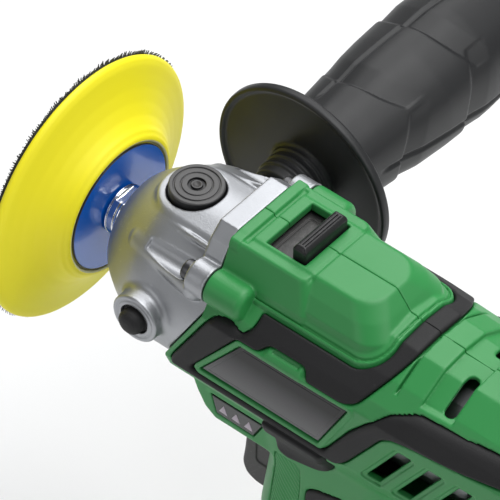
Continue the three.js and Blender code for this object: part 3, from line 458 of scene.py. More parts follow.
LABEL = [(-31.3, 9.4), (-65.0, 9.6), (-56.4, -7.5), (-18.8, -7.3)]
GAUGE = [(-15.6, -26), (-32.4, -26), (-29.4, -31.9), (-17.4, -31.7)]
BOOT = [(-38.4, -11.5), (-58.0, -11.5), (-56.3, -23.6), (-52.5, -26.4), (-42.0, -28.8), (-38.7, -27.4)]
GRIP_PANEL = [(-47.2, -38.5), (-50.5, -36.2), (-60.0, -33.4), (-66.5, -36.0), (-68.0, -60), (-71.5, -98),
              (-50, -102), (-46.6, -70)]
PANEL_FRAME = [(-49.6, -41.5), (-52.0, -39.2), (-60.5, -36.6), (-63.8, -39.0), (-65.2, -60), (-68.3, -95),
               (-52.4, -98.6), (-49.4, -70)]
KNURL = [(-36.8, -31.0), (-45.2, -31.5), (-44.4, -60), (-46.6, -96), (-39.8, -95), (-36.4, -74), (-34.8, -56)]


def barrel(g, inset=0.0):
    half = BARREL + [(-y, z) for y, z in BARREL[-2:0:-1]]
    section = poly(g.y, g.z, half)
    taper = at(g.x, [-123, -120.5, -114, -100, -78, -60, 30], [8.6, 4.6, 2.1, 1.3, 0.6, 0, 0])
    d = section + taper + inset
    return soft_both(d, -(g.x + 123 - inset), 3.0)


def column(g, zs, x0, x1, half, corner, inset=0.0):
    """A column whose rounded rectangular section changes with height."""
    a, b, h, c = (at(g.z, zs, values) for values in (x0, x1, half, corner))
    u = np.abs(g.x - (a + b) / 2) - ((b - a) / 2 - inset) + np.maximum(c - inset, 0.5)
    v = np.abs(g.y) - (h - inset) + np.maximum(c - inset, 0.5)
    return round_corner(u, v) - np.maximum(c - inset, 0.5)


def grip(g, inset=0.0, bottom=-115):
    d = column(g, [-115, -98, -74, -58, -38, -16], [-80, -77, -74.5, -72.5, -72, -80],
               [-34, -33, -29.5, -27.5, -30, -26], [17, 16.3, 16.6, 16.4, 16.2, 17], [11] * 6, inset)
    return np.maximum(d, slab(g.z, bottom, -14))


def foot(g, inset=0.0):
    d = column(g, [-130, -120, -112, -104], [-99, -98.5, -87, -81], [-15, -15.5, -24, -33],
               [30, 29.5, 21, 17], [9] * 4, inset)
    return soft_both(d, slab(g.z, -128, -104 - inset), 1.2)


def nose(g, inset=0.0):
    outline = [(-60, -12), (-5, -12), (-7.9, -22.5), (-10.4, -28.2), (-13.0, -32.4), (-16.6, -34.8),
               (-60, -34.8)]
    return extrude(poly(g.x, g.z, outline) + inset, g.y, -15.5 + inset, 15.5 - inset, 1.6)


def turret(g, inset=0.0):
    zs = np.array([8, 17, 23.4, 27.2, 30.9, 33])
    w = np.interp(g.z, zs, [16.4, 16.1, 15.2, 12.9, 9.8, 8.0]).astype(np.float32)
    r = np.interp(g.z, zs, [-67.2, -66.9, -66.2, -63.5, -60.3, -58.6]).astype(np.float32)
    flat = round_rect(g.x, g.y, r, 60, -w, w, 7.0) * 0.86
    return both(soft_both(flat + inset, g.z - 30.9 + inset, 0.7), 5 - g.z)


def deck(g, inset=0.0):
    zs = np.array([8, 12, 22, 31.1, 33])
    w = np.interp(g.z, zs, [17.3, 17.2, 16.4, 12.7, 12.0]).astype(np.float32)
    r = np.interp(g.z, zs, [-46.2, -46, -45.5, -41.8, -41.2]).astype(np.float32)
    flat = round_rect(g.x, g.y, r, 60, -w, w, 2.6) * 0.9
    return both(soft_both(flat + inset, g.z - 30.4 + inset, 0.7), 8 - g.z)


def boss_axis(g):
    return np.sqrt((g.m - BOSS_Y) ** 2 + (g.z - BOSS_Z) ** 2)


def boss(g, grow=0.0):
    """Both shoulder screw bosses of the housing."""
    return extrude(boss_axis(g) - 4.8 - grow, g.x, -29.6 - grow, 5, 1.9)


def raised(g, inset=0.0):
    wide = deck(g, inset)
    top = union(turret(g, inset), wide)
    if inset:
        return top
    lip = both(wide - 0.4, -(g.x + 21.4), 28.5 - g.z)
    top = soft_less(top, both(slab(g.x, -42.6, -41.9), 29.5 - g.z, np.abs(g.y) - 13, -(top + 0.3)), 0.3)
    valley = both(slab(g.x, -22.9, -21.7), -(wide + 0.5), np.abs(g.y) - 11.6, 28 - g.z)
    return soft_less(soft_union(top, lip, 0.6), valley, 0.6)


def lower(g, inset=0.0):
    d = soft_union(barrel(g, inset), grip(g, inset), 5.0)
    d = soft_union(d, nose(g, inset), 1.2)
    return soft_union(d, foot(g, inset), 4.0)


def shelled(g, side):
    """One half of the clamshell, with everything cut into it."""
    low, top = lower(g), raised(g)
    base = union(low, boss(g))
    plan = round_rect(g.x, g.y, *TOP_PLAN)
    rim = both(plan - 0.25, low - 0.75, -(g.z - 12))
    groove = both(np.abs(plan + 0.75) - 0.3, -(low + 0.3))
    shell = soft_union(union(base, less(rim, groove)), top, 0.4)
    cavity = union(barrel(g, WALL), grip(g, WALL, -112), nose(g, WALL), turret(g, WALL), deck(g, WALL))
    seat = poly(g.x, g.z, rounded(RUBBER_EDGE, 1.3)) - 0.25
    shell = less(shell, both(seat, -(low + 1.6), -(plan - 0.45), -(boss(g) - 0.25)))
    tab = both(poly(g.x, g.z, TAB) + 0.4, low - 0.55, -(g.m - 15))
    shell = soft_union(shell, tab, 0.6)
    shell = less(shell, both(slab(g.z, 12.5, 13.1), slab(g.x, -49.0, -40.5), -(low + 0.3)))
    for outline, depth in ((BOOT, 1.6), (GRIP_PANEL, 1.2)):
        shell = less(shell, both(poly(g.x, g.z, rounded(outline, 2.5)) - 0.2, -(low + depth)))
    label_plane = poly(g.x, g.z, LABEL)
    border = both(np.abs(label_plane - 0.9) - 0.75, low - 0.45, -(g.m - 20))
    shell = soft_union(shell, border, 0.4)
    shell = less(shell, both(label_plane - 0.15, -(low + 0.9)))
    if side > 0:
        shell = less(shell, both(poly(g.x, g.z, GAUGE) - 0.2, -(g.m - 14.0)))
    # slanted cooling slots in the side
    for i in range(4):
        x = -70.6 - 9.2 * i
        long_slot = [(x, -10.0), (x - 9.2, 4.2), (x - 13.4, 4.2), (x - 4.3, -10.0)]
        short_slot = [(x, -7.0), (x - 6, 2.4), (x - 10, 2.4), (x - 4, -7.0)]
        slot = poly(g.x, g.z, long_slot if i < 3 else short_slot)
        shell = soft_less(shell, both(slot + 0.1, -(g.m - 17)), 0.7)
        shell = soft_less(shell, both(slot - 1.0, -(low + 0.7), -(g.m - 17)), 0.4)
    # cross channel behind the band, with its slot, and the panel line along the side
    channel = both(slab(g.x, -91.2, -81.8), -(g.z - 17.6), -(low + 1.3))
    shell = soft_less(shell, channel, 0.3)
    shell = less(shell, both(round_rect(g.x, g.m, -90.5, -87.0, 4.2, 15.4, 1.7), -(g.z - 10)))
    band_gap = both(slab(g.x, -75.0, -74.3), -(g.z - 17.3), -(low + 1.6))
    shell = less(shell, band_gap)
    shell = less(shell, both(poly(g.x, g.z, rounded(KNURL, 2)) - 0.1, -(low + 1.0)))
    shell = less(shell, cavity)
    # window of the speed selector, slot of the trigger
    shell = less(shell, box(g, -38.6, -26.4, -8.8, 8.8, 20, 60), box(g, -42, -15, -8.6, 8.6, -61, -34.2))
    # neck and head of the battery rail, bay for the board, way up for the wires
    for x0, x1, half, z0, z1 in ((-94.3, 60, 16.9, -129, -124.2), (-94.3, 60, 19.9, -125, -119.3),
                                 (-84, -30, 19, -119.6, -113.6), (-64, -46, 8, -114.6, -102)):
        shell = less(shell, box(g, x0, x1, -half, half, z0, z1))
    for sx, sz, outward in SCREW_POSTS:
        post = rod(g, "y", 4, -outward + 0.8, outward - 0.8, sx, sz)
        shell = union(shell, post)
        shell = less(shell, rod(g, "y", 1.8, -30, 10.3, sx, sz), rod(g, "y", 3.4, -60, 3.6 - outward, sx, sz))
    shell = less(shell, rod(g, "x", 1.8, -27.3, 30, side * BOSS_Y, BOSS_Z))
    return both(shell, poly(g.x, g.z, SEAM) + 0.15, 0.04 - side * g.y)


def ribbed(g, side):
    """Fine slanting ribs on the front of the grip, moulded as a strip set into the shell."""
    low = lower(g)
    wave = 0.28 * np.abs(((g.x * 0.78 - g.z * 0.62) / 1.15) % 1 - 0.5) * 2
    return both(poly(g.x, g.z, rounded(KNURL, 2)) + 0.05, low + 0.42 - wave, -(low + 0.95), 6 - g.m)


def covering(g, side):
    """The rubber skin of one half."""
    low = lower(g)
    plan = round_rect(g.x, g.y, *TOP_PLAN)
    outline = poly(g.x, g.z, rounded(RUBBER_EDGE, 1.3)) + 0.05
    region = both(outline, -(plan - 0.65), -(boss(g) - 0.55))
    skin = soft_both(soft_both(low - 0.65, region, 1.3), -(low + 1.35), 0.2)
    boot = both(poly(g.x, g.z, rounded(BOOT, 2.5)), -(g.m - 13))
    body = soft_both(boot, low - 1.9, 1.6)
    skin = union(skin, both(body, -(low + 1.3)))
    panel = soft_both(poly(g.x, g.z, rounded(GRIP_PANEL, 2.5)), low - 0.45, 0.9)
    framed = np.abs(poly(g.x, g.z, rounded(PANEL_FRAME, 2))) - 0.55
    panel = both(less(panel, both(framed, -(low + 0.35))), -(low + 1.0), -(g.m - 6))
    skin = union(skin, panel)
    return both(skin, poly(g.x, g.z, SEAM) + 0.3, 0.04 - side * g.y)


# ---- Turned pieces ----
def eased(points, r=0.4):
    """A profile with each of its corners rounded."""
    p = [np.array(q, float) for q in points]
    out = [p[0]]
    for a, b, c in zip(p, p[1:], p[2:]):
        out += corner_curve(a, b, c, r, np.linspace(0, 1, 4))
    return np.array(out + [p[-1]])


def lathe(name, profile, axis="x", segments=160, shape=None, longest=0.0):
    """A solid turned about an axis from (along, radius) points that run from pole to pole or round a ring."""
    p = np.array(profile, float)
    if longest:
        dense = [p[0]]
        for a, b in zip(p, p[1:]):
            n = max(1, int(np.ceil(np.linalg.norm(b - a) / longest)))
            dense += [a + (b - a) * t for t in np.linspace(0, 1, n + 1)[1:]]
        p = np.array(dense)
    ring = p[0][1] > 1e-6
    angle = np.linspace(0, 2 * np.pi, segments, endpoint=False)
    inner = p if ring else p[1:-1]
    along = np.repeat(inner[:, :1], segments, 1)
    radius = np.repeat(inner[:, 1:], segments, 1)
    if shape:
        radius = shape(along, angle[None, :] + 0 * along, radius)
    c, s = radius * np.cos(angle), radius * np.sin(angle)
    xyz = np.stack([along, c, s] if axis == "x" else [s, along, c], -1).reshape(-1, 3)
    n = len(inner)
    i, j = np.meshgrid(np.arange(n if ring else n - 1), np.arange(segments), indexing="ij")
    i, j = i.ravel(), j.ravel()
    k, i2 = (j + 1) % segments, (i + 1) % n
    faces = np.stack([i * segments + j, i2 * segments + j, i2 * segments + k, i * segments + k], 1).tolist()
    if not ring:
        poles = np.array([[p[0][0], 0, 0], [p[-1][0], 0, 0]])
        xyz = np.vstack([xyz, poles if axis == "x" else poles[:, [1, 0, 2]]])
        first, last = n * segments, n * segments + 1
        for j in range(segments):
            k = (j + 1) % segments
            faces.append([first, j, k])
            faces.append([last, (n - 1) * segments + k, (n - 1) * segments + j])
    ob = add_mesh(name, xyz, faces)
    crisp(ob)
    return ob


def crisp(ob, degrees=38):
    work = bpy.data.meshes[ob.data.name]
    co = np.empty(len(work.vertices) * 3)
    work.vertices.foreach_get("co", co)
    co = co.reshape(-1, 3)
    work.calc_loop_triangles()
    tri = np.empty(len(work.loop_triangles) * 3, np.int32)
    work.loop_triangles.foreach_get("vertices", tri)
    a, b, c = (co[tri.reshape(-1, 3)[:, i]] for i in range(3))
    volume = np.einsum("ij,ij->i", a, np.cross(b, c)).sum()
    if volume < 0:
        work.flip_normals()
    work.shade_smooth()
    work.set_sharp_from_angle(angle=math.radians(degrees))


def paint(ob, rules):
    """Gives faces a second material where a rule on the face's centre holds."""
    centres = np.empty(len(ob.data.polygons) * 3)
    ob.data.polygons.foreach_get("center", centres)
    centres = centres.reshape(-1, 3) * 1000 - OFFSET
    index = np.zeros(len(centres), np.int32)
    for n, (material, rule) in enumerate(rules, 1):
        ob.data.materials.append(material)
        index[rule(centres)] = n
    ob.data.polygons.foreach_set("material_index", index)


def radial(c):
    return np.hypot(c[:, 1], c[:, 2])


# ---- Body ----
def outboard(side, x0, x1, y0, y1, z0, z1, step):
    """Samples of a block that lies y0 to y1 out from the parting plane."""
    return Grid((x0, min(side * y0, side * y1), z0), (x1, max(side * y0, side * y1), z1), step)


for side, name in ((1, "left"), (-1, "right")):
    ends = (0.0, 34.0) if side > 0 else (-34.0, 0.0)
    grid = Grid((-131, ends[0], -131), (-5, ends[1], 33), 0.42 * FINE, side)
    shell = shelled(grid, side)
    piece(f"housing_{name}_shell", grid, shell, 0.55, "body", GREEN, f"housing_{name}")
    grid = Grid((-116, ends[0], -105), (-7, ends[1], 29), 0.36 * FINE, side)
    skin = covering(grid, side)
    piece(f"overmould_{name}_skin", grid, skin, 0.6, "body", RUBBER, f"overmould_{name}")
    grid = outboard(side, -48, -33.5, 9, 18.5, -98, -29.5, 0.21 * FINE)
    ribs = ribbed(grid, side)
    piece(f"grip_ribs_{name}", grid, ribs, 0.6, "body", GREEN, f"housing_{name}")
    grid = outboard(side, -68, -17, 21, 25, -9, 11, 0.16 * FINE)
    plane, low = poly(grid.x, grid.z, LABEL) + 0.2, barrel(grid)
    plate = soft_both(plane, low + 0.1, 0.25)
    plate = less(both(plate, -(low + 0.75)), both(np.abs(plane + 1.1) - 0.14, -(low + 0.2)))
    piece(f"rating_plate_{name}", grid, plate, 0.5, "body", LABEL_FILM, f"rating_label_{name}")

grid = Grid((-34, 13.8, -33), (-14, 16, -25), 0.09 * FINE)
window = extrude(poly(grid.x, grid.z, GAUGE) + 0.15, grid.y, 14.3, 15.6, 0.25)
piece("gauge_window", grid, window, 0.4, "body", LENS, "gauge_lens")
grid = Grid((-31, 15.2, -31), (-17, 16, -26), 0.07 * FINE)
triangles = [poly(grid.x, grid.z, [(x - 1.5, -30.5), (x + 1.7, -30.3), (x, -27.3)])
             for x in (-19.8, -23.9, -28.0)]
lamps = union(*[extrude(flat + 0.1, grid.y, 15.4, 15.72, 0.08) for flat in triangles])
piece("gauge_lamps", grid, lamps, 0.5, "body", LAMP, "gauge_lens")


def cross_recess(u, v, w, top, size, depth):
    """A cross-head recess that narrows as it goes in; w is measured out of the head."""
    narrow = np.clip((top - w) / depth, 0, 1) * size * 0.55
    arms = [both(np.abs(p) - 0.42, np.abs(q) - size + narrow) for p, q in ((u, v), (v, u))]
    return both(union(*arms), -(w - top + depth))


def thread(radius, along, u, v):
    """A rolled thread of 1 mm pitch."""
    return radius - 1.34 - 0.16 * np.sin(along * 2 * np.pi + np.arctan2(v, u))


for n, (sx, sz, outward) in enumerate(SCREW_POSTS, 1):
    grid = Grid((sx - 3.3, -outward + 0.6, sz - 3.3), (sx + 3.3, 10.3, sz + 3.3), 0.13 * FINE)
    u, v = grid.x - sx, grid.z - sz
    radius = np.sqrt(u * u + v * v)
    head = extrude(radius - 3.0, grid.y, 0.9 - outward, 3.3 - outward, 0.7)
    head = less(head, cross_recess(u * 0.8 + v * 0.6, v * 0.8 - u * 0.6, -grid.y, outward - 0.9, 1.9, 1.5))
    screw = union(head, both(thread(radius, grid.y, u, v), slab(grid.y, 3.0 - outward, 10)))
    piece(f"housing_screw_head_{n}", grid, screw, 0.7, "body", DARK_STEEL, f"housing_screw_{n}")

for side, name in ((1, "left"), (-1, "right")):
    grid = Grid((-27.3, side * BOSS_Y - 3.1, 15.1), (-9, side * BOSS_Y + 3.1, 21.3), 0.13 * FINE)
    u, v = grid.y - side * BOSS_Y, grid.z - BOSS_Z
    radius = np.sqrt(u * u + v * v)
    head = extrude(radius - 2.8, grid.x, -11.9, -9.4, 0.7)
    head = less(head, cross_recess(u, v, grid.x, -9.4, 1.8, 1.5))
    screw = union(head, both(thread(radius, grid.x, u, v), slab(grid.x, -27, -11)))
    node = f"gear_case_screw_{name}"
    piece(f"gear_case_screw_head_{name}", grid, screw, 0.7, "body", DARK_STEEL, node)

# ---- Gear head ----
HEAD = [(-60, -1), (-60, 24), (2, 24), (6, 23.3), (10, 21.5), (14, 19.2), (18, 16.4), (20.2, 14.1),
        (21.3, 11.8), (21.3, -1)]


def tapered(g, a, b, ra, rb):
    """A round cone on both sides of the head, from point a to point b."""
    a, b = np.array(a, float), np.array(b, float)
    e = b - a
    dx, dy, dz = g.x - a[0], g.m - a[1], g.z - a[2]
    t = np.clip((dx * e[0] + dy * e[1] + dz * e[2]) / e.dot(e), 0, 1)
    return np.sqrt((dx - e[0] * t) ** 2 + (dy - e[1] * t) ** 2 + (dz - e[2] * t) ** 2) - (ra + (rb - ra) * t)


def gear_head(g):
    radius = np.sqrt(g.y ** 2 + g.z ** 2)
    section = [(-15.8, 8), (15.8, 8), (15.6, 23.2), (13.3, 26.8), (9.6, 30.3), (-9.6, 30.3), (-13.3, 26.8),
               (-15.6, 23.2)]
    d = poly(g.x, radius, eased(HEAD, 3.0).tolist())
    shape = poly(g.y, g.z, section)
    flange = extrude(shape, g.x, -30, -12.2, 0.7)
    bosses = extrude(boss_axis(g) - 4.8, g.x, -30, -12.2, 0.8)
    collar = extrude(boss_axis(g) - 4.9, g.x, -20.2, -17.4, 0.5)
    platform = rod(g, "z", 9.9, 0, 21.8, BUTTON_X, 0, 0.9)
    top = soft_union(box(g, -20, BUTTON_X, -10, 10, 0, 21.8, 0.8), platform, 0.3)
    cross = rod(g, "y", 7, -27.5, 27.5, 0, 0, 0.6)
    d = soft_union(d, flange, 1.6)
    d = soft_union(d, union(bosses, collar), 1.4)
    d = soft_union(d, top, 1.5)
    d = soft_union(d, cross, 1.8)
    # lower lip of each screw's access channel, and the thin rib above it
    d = soft_union(d, tapered(g, (8.5, 15.0, 13.2), (-13, 19.8, 14.8), 2.7, 3.6), 0.8)
    d = soft_union(d, tapered(g, (6.6, 10.4, 19.6), (-12.5, 12.9, 22.0), 0.4, 0.9), 0.8)
    d = soft_less(d, both(tapered(g, (10, 18.0, 19.9), (-12.2, 18.7, 19.0), 2.4, 3.3), -(g.x + 12.2)), 0.35)
    d = soft_less(d, both(np.abs(radius - 12.9) - 0.3, -(g.x - 20.8)), 0.3)
    face = np.sqrt(g.x ** 2 + g.z ** 2)
    d = soft_less(d, both(np.abs(face - 5.5) - 0.22, -(g.m - 27.15)), 0.15)
    front = both(d, -poly(g.x, g.z, SEAM) + 0.2)
    spigot = rod(g, "x", 20.9, -30.5, 0)
    d = union(front, spigot)
    d = less(d, rod(g, "x", 13.1, -20, 17.7), rod(g, "x", 9.3, 0, 30), rod(g, "x", 19.3, -40, -9.6))
    d = soft_less(d, rod(g, "z", 7.6, 14.8, 60, BUTTON_X, 0), 0.5)
    d = less(d, rod(g, "z", 2.7, 0, 15.8, BUTTON_X, 0))
    d = less(d, rod(g, "y", 4.25, 16, 60), rod(g, "y", 4.25, -60, -16))
    for side in (1, -1):
        d = soft_less(d, rod(g, "x", 3.2, -12.2, 4, side * BOSS_Y, BOSS_Z + 0.2), 0.3)
        d = less(d, rod(g, "x", 1.8, -27.3, 0, side * BOSS_Y, BOSS_Z))
    return d


grid = Grid((-31, -28, -25), (22, 28, 31), 0.33 * FINE)
piece("gear_case_casting", grid, gear_head(grid), 0.6, "body", ALLOY, "gear_case")

plug = eased([(20, 0), (20, 4), (26.9, 4), (27.1, 3.5), (28.9, 3.5), (29.8, 3.1), (30.4, 2.2), (30.65, 1.1),
              (30.7, 0)], 0.2)
finish_piece(lathe("handle_hole_cap", plug, "y", 96), "body", RUBBER, ["handle_hole_plug"])

seal = eased([(18, 9), (21.6, 9), (21.6, 9.4), (22.4, 9.4), (22.4, 8.7), (22.8, 8.7), (23.2, 8.2),
              (23.2, 5.3), (18, 5.3), (18, 9)], 0.12)
finish_piece(lathe("spindle_seal_ring", seal, "x", 128), "body", BRONZE, ["spindle_seal"])

# ---- Spindle, pad and hook face ----
grid = Grid((-18.4, -9.8, -9.8), (34, 9.8, 9.8), 0.17 * FINE)
radius = np.sqrt(grid.y ** 2 + grid.z ** 2)
spindle = poly(grid.x, radius, [(-18, -1), (-18, 4.6), (-17.5, 5), (-0.4, 5), (-0.4, 9.1), (0, 9.5),
                                (6.4, 9.5), (6.8, 9.1), (6.8, 5), (23.6, 5), (23.6, 6.7), (23.9, 7),
                                (27.4, 7), (27.7, 6.7), (27.7, 4), (33.1, 4), (33.5, 3.6), (33.5, -1)])
for axis in "zy":
    for lo, hi in ((6, 12), (-12, -6)):
        spindle = less(spindle, rod(grid, axis, 2.8, lo, hi, BUTTON_X, 0))
spindle = less(spindle, both(6.1 - np.abs(grid.z), slab(grid.x, 23, 26.4)),
               both(slab(grid.x, 26.75, 27.0), 6.6 - radius), both(slab(grid.x, 24.6, 24.85), 6.75 - radius))
piece("spindle_forging", grid, spindle, 0.6, "spindle", CHROME, "spindle")

hub = eased([(28.0, 17.7), (28.3, 18), (28.6, 17.8), (28.6, 4.4), (28.0, 4.4), (28.0, 17.7)], 0.1)
disc = lathe("hub_printed_disc", hub, "x", 160, longest=0.5)
finish_piece(disc, "spindle", HUB, ["pad_hub_disc"])
paint(disc, [(BLACK, lambda c: radial(c) > 17.75)])

FOAM_LINE = [(34, 0), (34, 4.4), (28.9, 4.4), (28.9, 18.3), (28.15, 18.5), (27.95, 19.1), (28.2, 19.9),
             (28.9, 20.5), (29.4, 21.2), (30.4, 21.9), (32.2, 23.8), (34, 26.7), (35.5, 30.0), (36.6, 33.2),
             (37.3, 35.6), (38.0, 36.9), (38.6, 37.4), (39.2, 37.5), (39.7, 37.2), (39.7, 0)]


def foam_skin(along, angle, radius):
    """The moulded skin ripples very slightly, most of all in the waist."""
    wave = np.sin(angle * 5 + along * 0.7) + 0.6 * np.sin(angle * 11 - along * 1.3)
    return radius + 0.012 * wave * np.clip((radius - 20) / 8, 0, 1) * (along < 39.3)


foam = lathe("foam_pad", eased(FOAM_LINE, 0.5), "x", 224, foam_skin, 0.6)
finish_piece(foam, "spindle", FOAM, ["backing_pad"])
# painted shade and painted pale line of light on the foam lip in the hollow beside the hub
paint(foam, [(LIP_SHADE_AND_GLINT, lambda c: (radial(c) < 19.0) & (radial(c) > 18) & (c[:, 0] < 29.0))])

backing = eased([(40.0, 0), (40.0, 36.9), (40.6, 36.9), (40.6, 0)], 0.15)
pile = lathe("hook_backing", backing, "x", 160, longest=1.2)
stem_verts, stem_faces = [], []


def skin_stem(levels):
    """Joins the last three-sided rings of a stem, and closes both of its ends."""
    base = len(stem_verts) - 3 * levels
    for p in range(base, base + 3 * levels - 3):
        q = p + 1 if (p - base) % 3 < 2 else p - 2
        stem_faces.append((p, q, q + 3, p + 3))
    end = base + 3 * levels - 3
    stem_faces.extend([(base + 2, base + 1, base), (end, end + 1, end + 2)])


# small hooks over the face, placed in a sunflower spiral
THIRD_TURN = 2.0944
GOLDEN_ANGLE = 2.399963
count = 3400
for i in range(count):
    reach = 36.2 * math.sqrt((i + 0.5) / count)
    turn = i * GOLDEN_ANGLE
    cy, cz = reach * math.cos(turn), reach * math.sin(turn)
    lean = turn * 3.1
    for along, drift, wide in ((40.5, 0, 0.17), (41.15, 0.05, 0.14), (41.5, 0.26, 0.13), (41.3, 0.52, 0.08)):
        for corner in range(3):
            a = corner * THIRD_TURN + lean
            tip = 0.1 * math.cos(a) if along > 41.2 else 0
            stem_verts.append((along + tip, cy + drift * math.cos(lean) + wide * math.cos(a),
                               cz + drift * math.sin(lean) + wide * math.sin(a)))
    skin_stem(4)
# longer fibres that stand out past the rim
for i in range(380):
    turn = i * 2 * math.pi / 380
    jog = 0.25 * math.sin(i * 12.9898) + 0.2 * math.sin(i * 4.1414)
    rings = ((36.7, 40.3, 0.2), (37.5, 40.4 + jog * 0.6, 0.15), (38.1, 40.2 + jog * 1.4, 0.1))
    for reach, along, wide in rings:
        for corner in range(3):
            a = corner * THIRD_TURN + jog
            r, t = reach + wide * 0.5 * math.cos(a), turn + wide * math.sin(a) / 37
            stem_verts.append((along + wide * math.cos(a + 1), r * math.cos(t), r * math.sin(t)))
    skin_stem(3)
finish_piece(pile, "spindle", HOOKS, ["hook_face"])
finish_piece(add_mesh("hook_pile", stem_verts, stem_faces), "spindle", HOOKS, ["hook_face"])

# ---- Controls ----
grid = Grid((-4.4, -7.5, 10.0), (10.6, 7.5, 25.4), 0.12 * FINE)
radius = np.sqrt((grid.x - BUTTON_X) ** 2 + grid.y ** 2)
cap = extrude(radius - 7.2, grid.z, 19.9, 24.7, 0.45)
for middle, half, floor_z in ((5.8, 0.22, 24.35), (4.0, 0.2, 24.4), (1.9, 0.4, 24.1)):
    cap = less(cap, both(np.abs(radius - middle) - half, -(grid.z - floor_z)))
cap = less(cap, np.sqrt(radius ** 2 + (grid.z - 25.9) ** 2) - 1.6)
button = union(cap, extrude(radius - 2.4, grid.z, 10.3, 21, 0.4))
button = piece("spindle_lock_cap", grid, button, 0.5, "lock_button", BUTTON, "spindle_lock_button")


def from_button(c):
    """Distance of face centres from the lock button's axis."""
    return np.hypot(c[:, 0] - BUTTON_X, c[:, 1])


paint(button, [(BLACK, lambda c: (c[:, 2] < 24.3) | (np.abs(from_button(c) - 1.9) < 0.5)),
               (GREY, lambda c: (from_button(c) < 1.15) & (c[:, 2] > 23))])

grid = Grid((-46, -10, 25.2), (-24.8, 10, 35.2), 0.15 * FINE)
outline = [(-38.2, 26), (-34, 26), (-34, 33.6), (-34.9, 34.8), (-37.3, 34.8), (-38.2, 33.6)]
bar = soft_both(poly(grid.x, grid.z, rounded(outline, 0.5)), grid.m - 8.3, 0.7)
bar = soft_both(bar, grid.m * 0.8 + grid.z * 0.6 - 26.9, 0.3)
bar = less(bar, both(slab((grid.x + 0.2) % 0.9, 0, 0.34), -(grid.z - 34.45), grid.m - 6.8))
plate = box(grid, -45.5, -25.5, -9.6, 9.6, 25.7, 27.1, 0.3)
frame_line = np.abs(round_rect(grid.x, grid.y, -32.8, -27.2, -7.2, 7.2, 0.8)) - 0.2
plate = less(plate, both(frame_line, -(grid.z - 26.85)))
selector = piece("speed_selector_bar", grid, union(plate, bar), 0.5, "selector", BLACK, "speed_selector")
paint(selector, [(GREY, lambda c: c[:, 2] < 27.3)])

grid = Grid((-41.5, -8.4, -60), (-19, 8.4, -34.9), 0.2 * FINE)
outline = [(-41, -36.5), (-41, -52), (-33.5, -53), (-31, -59.4), (-24.5, -59.4), (-21, -57.8), (-19.6, -54.5),
           (-20.3, -49), (-20.7, -43), (-20.4, -35.3), (-33, -35.3)]
blade = extrude(poly(grid.x, grid.z, rounded(outline, 1.5)), grid.y, -8, 8, 1.4)
notches = both(slab(grid.z % 2.6, 0, 0.7), slab(grid.z, -56, -39), slab(grid.y, -5.4, 5.4), -(grid.x + 21.6))
blade = soft_less(blade, notches, 0.25)
side_recess = both(round_rect(grid.x, grid.z, -37.5, -24.5, -51.0, -38.5, 1.4), 7.6 - grid.m)
blade = soft_less(blade, side_recess, 0.3)
piece("trigger_blade", grid, blade, 0.6, "trigger", GREY, "trigger")

# ---- Return springs ----
def return_spring(name, node, axis, wire, turns, body):
    """A coil between its seats, its turns closer at both ends."""
    lo, hi = (np.array(c) * 1000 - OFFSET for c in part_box(node))
    centre, length = (lo + hi) / 2, (hi - lo)[axis]
    radius = min((hi - lo)[i] for i in range(3) if i != axis) / 2 - wire
    count, sides = int(turns * 28), 10
    verts, faces = [], []
    for i in range(count + 1):
        t = i / count
        rise = np.interp(t, [0, 0.2, 0.8, 1], [0, 0.1, 0.9, 1]) * (length - 2 * wire) + wire
        turn = 2 * math.pi * turns * t
        for j in range(sides):
            a = 2 * math.pi * j / sides
            r = radius + wire * math.cos(a)
            point = [r * math.cos(turn), r * math.sin(turn)]
            point.insert(axis, rise + wire * math.sin(a) - length / 2)
            verts.append(centre + np.array(point))
    for i in range(count):
        for j in range(sides):
            a, b = i * sides + j, i * sides + (j + 1) % sides
            faces.append((a, b, b + sides, a + sides))
    faces += [tuple(range(sides))[::-1], tuple(range(count * sides, (count + 1) * sides))]
    ob = add_mesh(name, verts, faces)
    crisp(ob, 60)
    finish_piece(ob, body, STEEL, [node])
    anchor, direction = centre.copy(), [0, 0, 0]
    anchor[axis], direction[axis] = lo[axis], 1
    anchor = ((anchor + OFFSET) / 1000).tolist()
    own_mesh(ob)


return_spring("spindle_lock_coil", "spindle_lock_spring", 2, 0.3, 3, "body")
return_spring("trigger_coil", "trigger_spring", 0, 0.35, 4, "body")
return_spring("battery_latch_coil", "battery_latch_spring", 2, 0.25, 3, "battery")

# ---- Battery ----
PACK_PLAN = (-99, -15, -30, 30, 9)
grid = Grid((-100, -31, -155.4), (-14, 31, -140.6), 0.4 * FINE)
plan = round_rect(grid.x, grid.y, *PACK_PLAN)
case = less(extrude(plan, grid.z, -155, -141, 1.3), extrude(plan + 2, grid.z, -153, -130))
along_side = both(slab(grid.x, -84, -30), -(plan + 0.5), slab(grid.z, -151.5, -143))
case = soft_less(case, both(slab((grid.x + 1.2) % 5.2, 0, 1.5), along_side), 0.3)
case = less(case, both(np.abs(round_rect(grid.x, grid.y, -86, -28, -20, 20, 3)) - 0.45, grid.z + 154.65))
for fx in (-90, -24):
    foot_ring = np.sqrt((grid.x - fx) ** 2 + (grid.m - 21) ** 2) - 3.2
    case = less(case, both(np.abs(foot_ring) - 0.3, grid.z + 154.6))
piece("battery_lower_shell", grid, case, 0.45, "battery", BLACK, "battery_lower_case")

